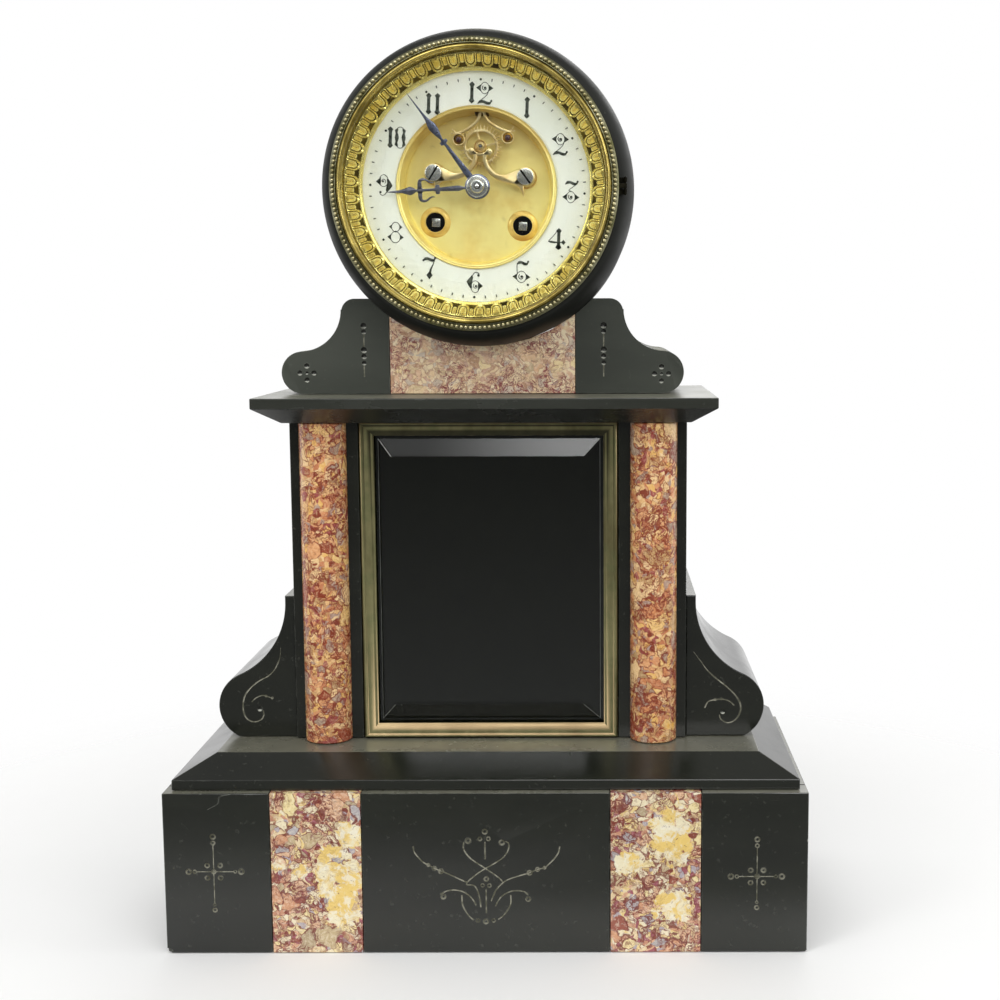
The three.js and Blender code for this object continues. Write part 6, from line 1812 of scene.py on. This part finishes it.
def make_camera():
    data = bpy.data.cameras.new("camera")
    data.lens = CAMERA["lens"]
    data.sensor_width = 36
    data.shift_x = CAMERA["shift"]
    data.clip_start = 0.01
    camera = link("camera", data)
    camera.location = CAMERA["place"]
    camera.rotation_euler = (CAMERA["pitch"], CAMERA["roll"], 0)
    bpy.context.scene.camera = camera


# Each lamp's place, width, height and power; all of them face the same spot
LAMPS = {"overhead": ((-0.15, -0.72, 1.3), 0.8, 0.6, 4.4), "front left": ((-0.95, -1.0, 0.75), 0.5, 0.8, 4.6),
         "front right high": ((0.85, -1.3, 0.8), 0.95, 0.5, 6), "right side": ((1.15, -0.1, 0.7), 0.5, 0.9, 2.2),
         "behind": ((0.1, 1.2, 0.9), 1.0, 0.8, 5)}
LAMPS_FACE = Vector((0, 0, 0.27))


def make_lights():
    for name, (place, wide, high, power) in LAMPS.items():
        data = bpy.data.lights.new(name, "AREA")
        data.shape = "RECTANGLE"
        data.size, data.size_y = wide, high
        data.energy = power
        lamp = link(name, data)
        lamp.location = place
        lamp.rotation_euler = (LAMPS_FACE - Vector(place)).to_track_quat("-Z", "Y").to_euler()


def make_world():
    """White where the camera looks and behind the object, dimmer in front, where the studio is dark."""
    world = bpy.data.worlds.new("studio")
    world.use_nodes = True
    tree = world.node_tree
    tree.nodes.clear()
    path = add(tree, "LightPath")
    direction = add(tree, "SeparateXYZ", {0: add(tree, "TexCoord").outputs["Generated"]}).outputs
    behind = mapped(tree, direction["Y"], -0.2, 0.2)
    backdrop = mapped(tree, direction["Z"], 0.2, 0.75, 1, 0.3)
    ceiling = mapped(tree, direction["Z"], 0.12, 0.5, 0.08, 0.85)
    table = mapped(tree, direction["Z"], -0.02, -0.4, 0, 0.3)
    front = times(tree, ceiling, table, "ADD")
    window_height = times(tree, mapped(tree, direction["Z"], 0.2, 0.33), mapped(tree, direction["Z"], 0.62, 0.45))
    window_width = times(tree, mapped(tree, direction["X"], -0.12, 0.0), mapped(tree, direction["X"], 0.3, 0.12))
    window = times(tree, window_height, times(tree, window_width, 5, clamp=False), clamp=False)
    front = times(tree, front, window, "ADD", False)
    mirrored_level = blended_value(tree, behind, front, backdrop)
    through = times(tree, path.outputs["Is Glossy Ray"], path.outputs["Is Transmission Ray"], "ADD")
    shown = times(tree, through, mirrored_level, clamp=False)
    bright = add(tree, "Background", {"Color": (1, 1, 1, 1),
                                      "Strength": times(tree, path.outputs["Is Camera Ray"], shown, "ADD", False)})
    plain = add(tree, "Background", {"Color": (1, 1, 1, 1), "Strength": 0.66})
    seen = times(tree, path.outputs["Is Camera Ray"], through, "ADD")
    either = times(tree, seen, times(tree, path.outputs["Diffuse Depth"], 0.5, "LESS_THAN"))
    chosen = add(tree, "MixShader", {0: either, 1: plain.outputs[0], 2: bright.outputs[0]})
    out = tree.nodes.new("ShaderNodeOutputWorld")
    tree.links.new(chosen.outputs[0], out.inputs[0])
    bpy.context.scene.world = world


def make_floor():
    """A pale round floor that fades out into the white behind it. Its front is painted dark for every ray but the
    camera's, a painted dark reflection in the stone.
    """
    material, tree, shader = new_finish("pale floor", Roughness=0.9)
    here = place_on_piece(tree)
    across, ahead, _ = add(tree, "SeparateXYZ", {0: here}).outputs
    # Painted reflection: the front of the floor is dark to all but camera rays.
    far = mapped(tree, ahead, -0.11, -0.27, 0, 0.85)
    near_right = times(tree, mapped(tree, across, -0.12, 0.1, 0, 0.7), mapped(tree, ahead, -0.1, -0.16))
    mirrored_only = times(tree, 1, add(tree, "LightPath").outputs["Is Camera Ray"], "SUBTRACT")
    dark = times(tree, times(tree, far, near_right, "MAXIMUM"), mirrored_only)
    feed(tree, shader, blended(tree, dark, (0.9, 0.9, 0.89, 1), (0.1, 0.11, 0.09, 1)))
    see_through(tree, mapped(tree, combined(tree, "LENGTH", here), 0.24, 0.5), shader)
    mesh = bpy.data.meshes.new("floor")
    with opened(mesh) as disc:
        bmesh.ops.create_circle(disc, cap_ends=True, segments=96, radius=0.6)
    mesh.materials.append(material)
    piece = link("floor", mesh)
    piece.location = (0, 0, -0.0004)


for make in (make_camera, make_world, make_lights, make_floor, make_base, make_body, make_window, make_saddle,
             make_drum, make_bezel, make_sight_ring, make_chapter_ring, make_numerals, make_dish, make_cock,
             make_escape_wheel, make_pallets, make_hands, make_winding, make_movement, make_pendulum, make_bell,
             make_rear):
    make()

bpy.context.scene.view_settings.view_transform = "Standard"
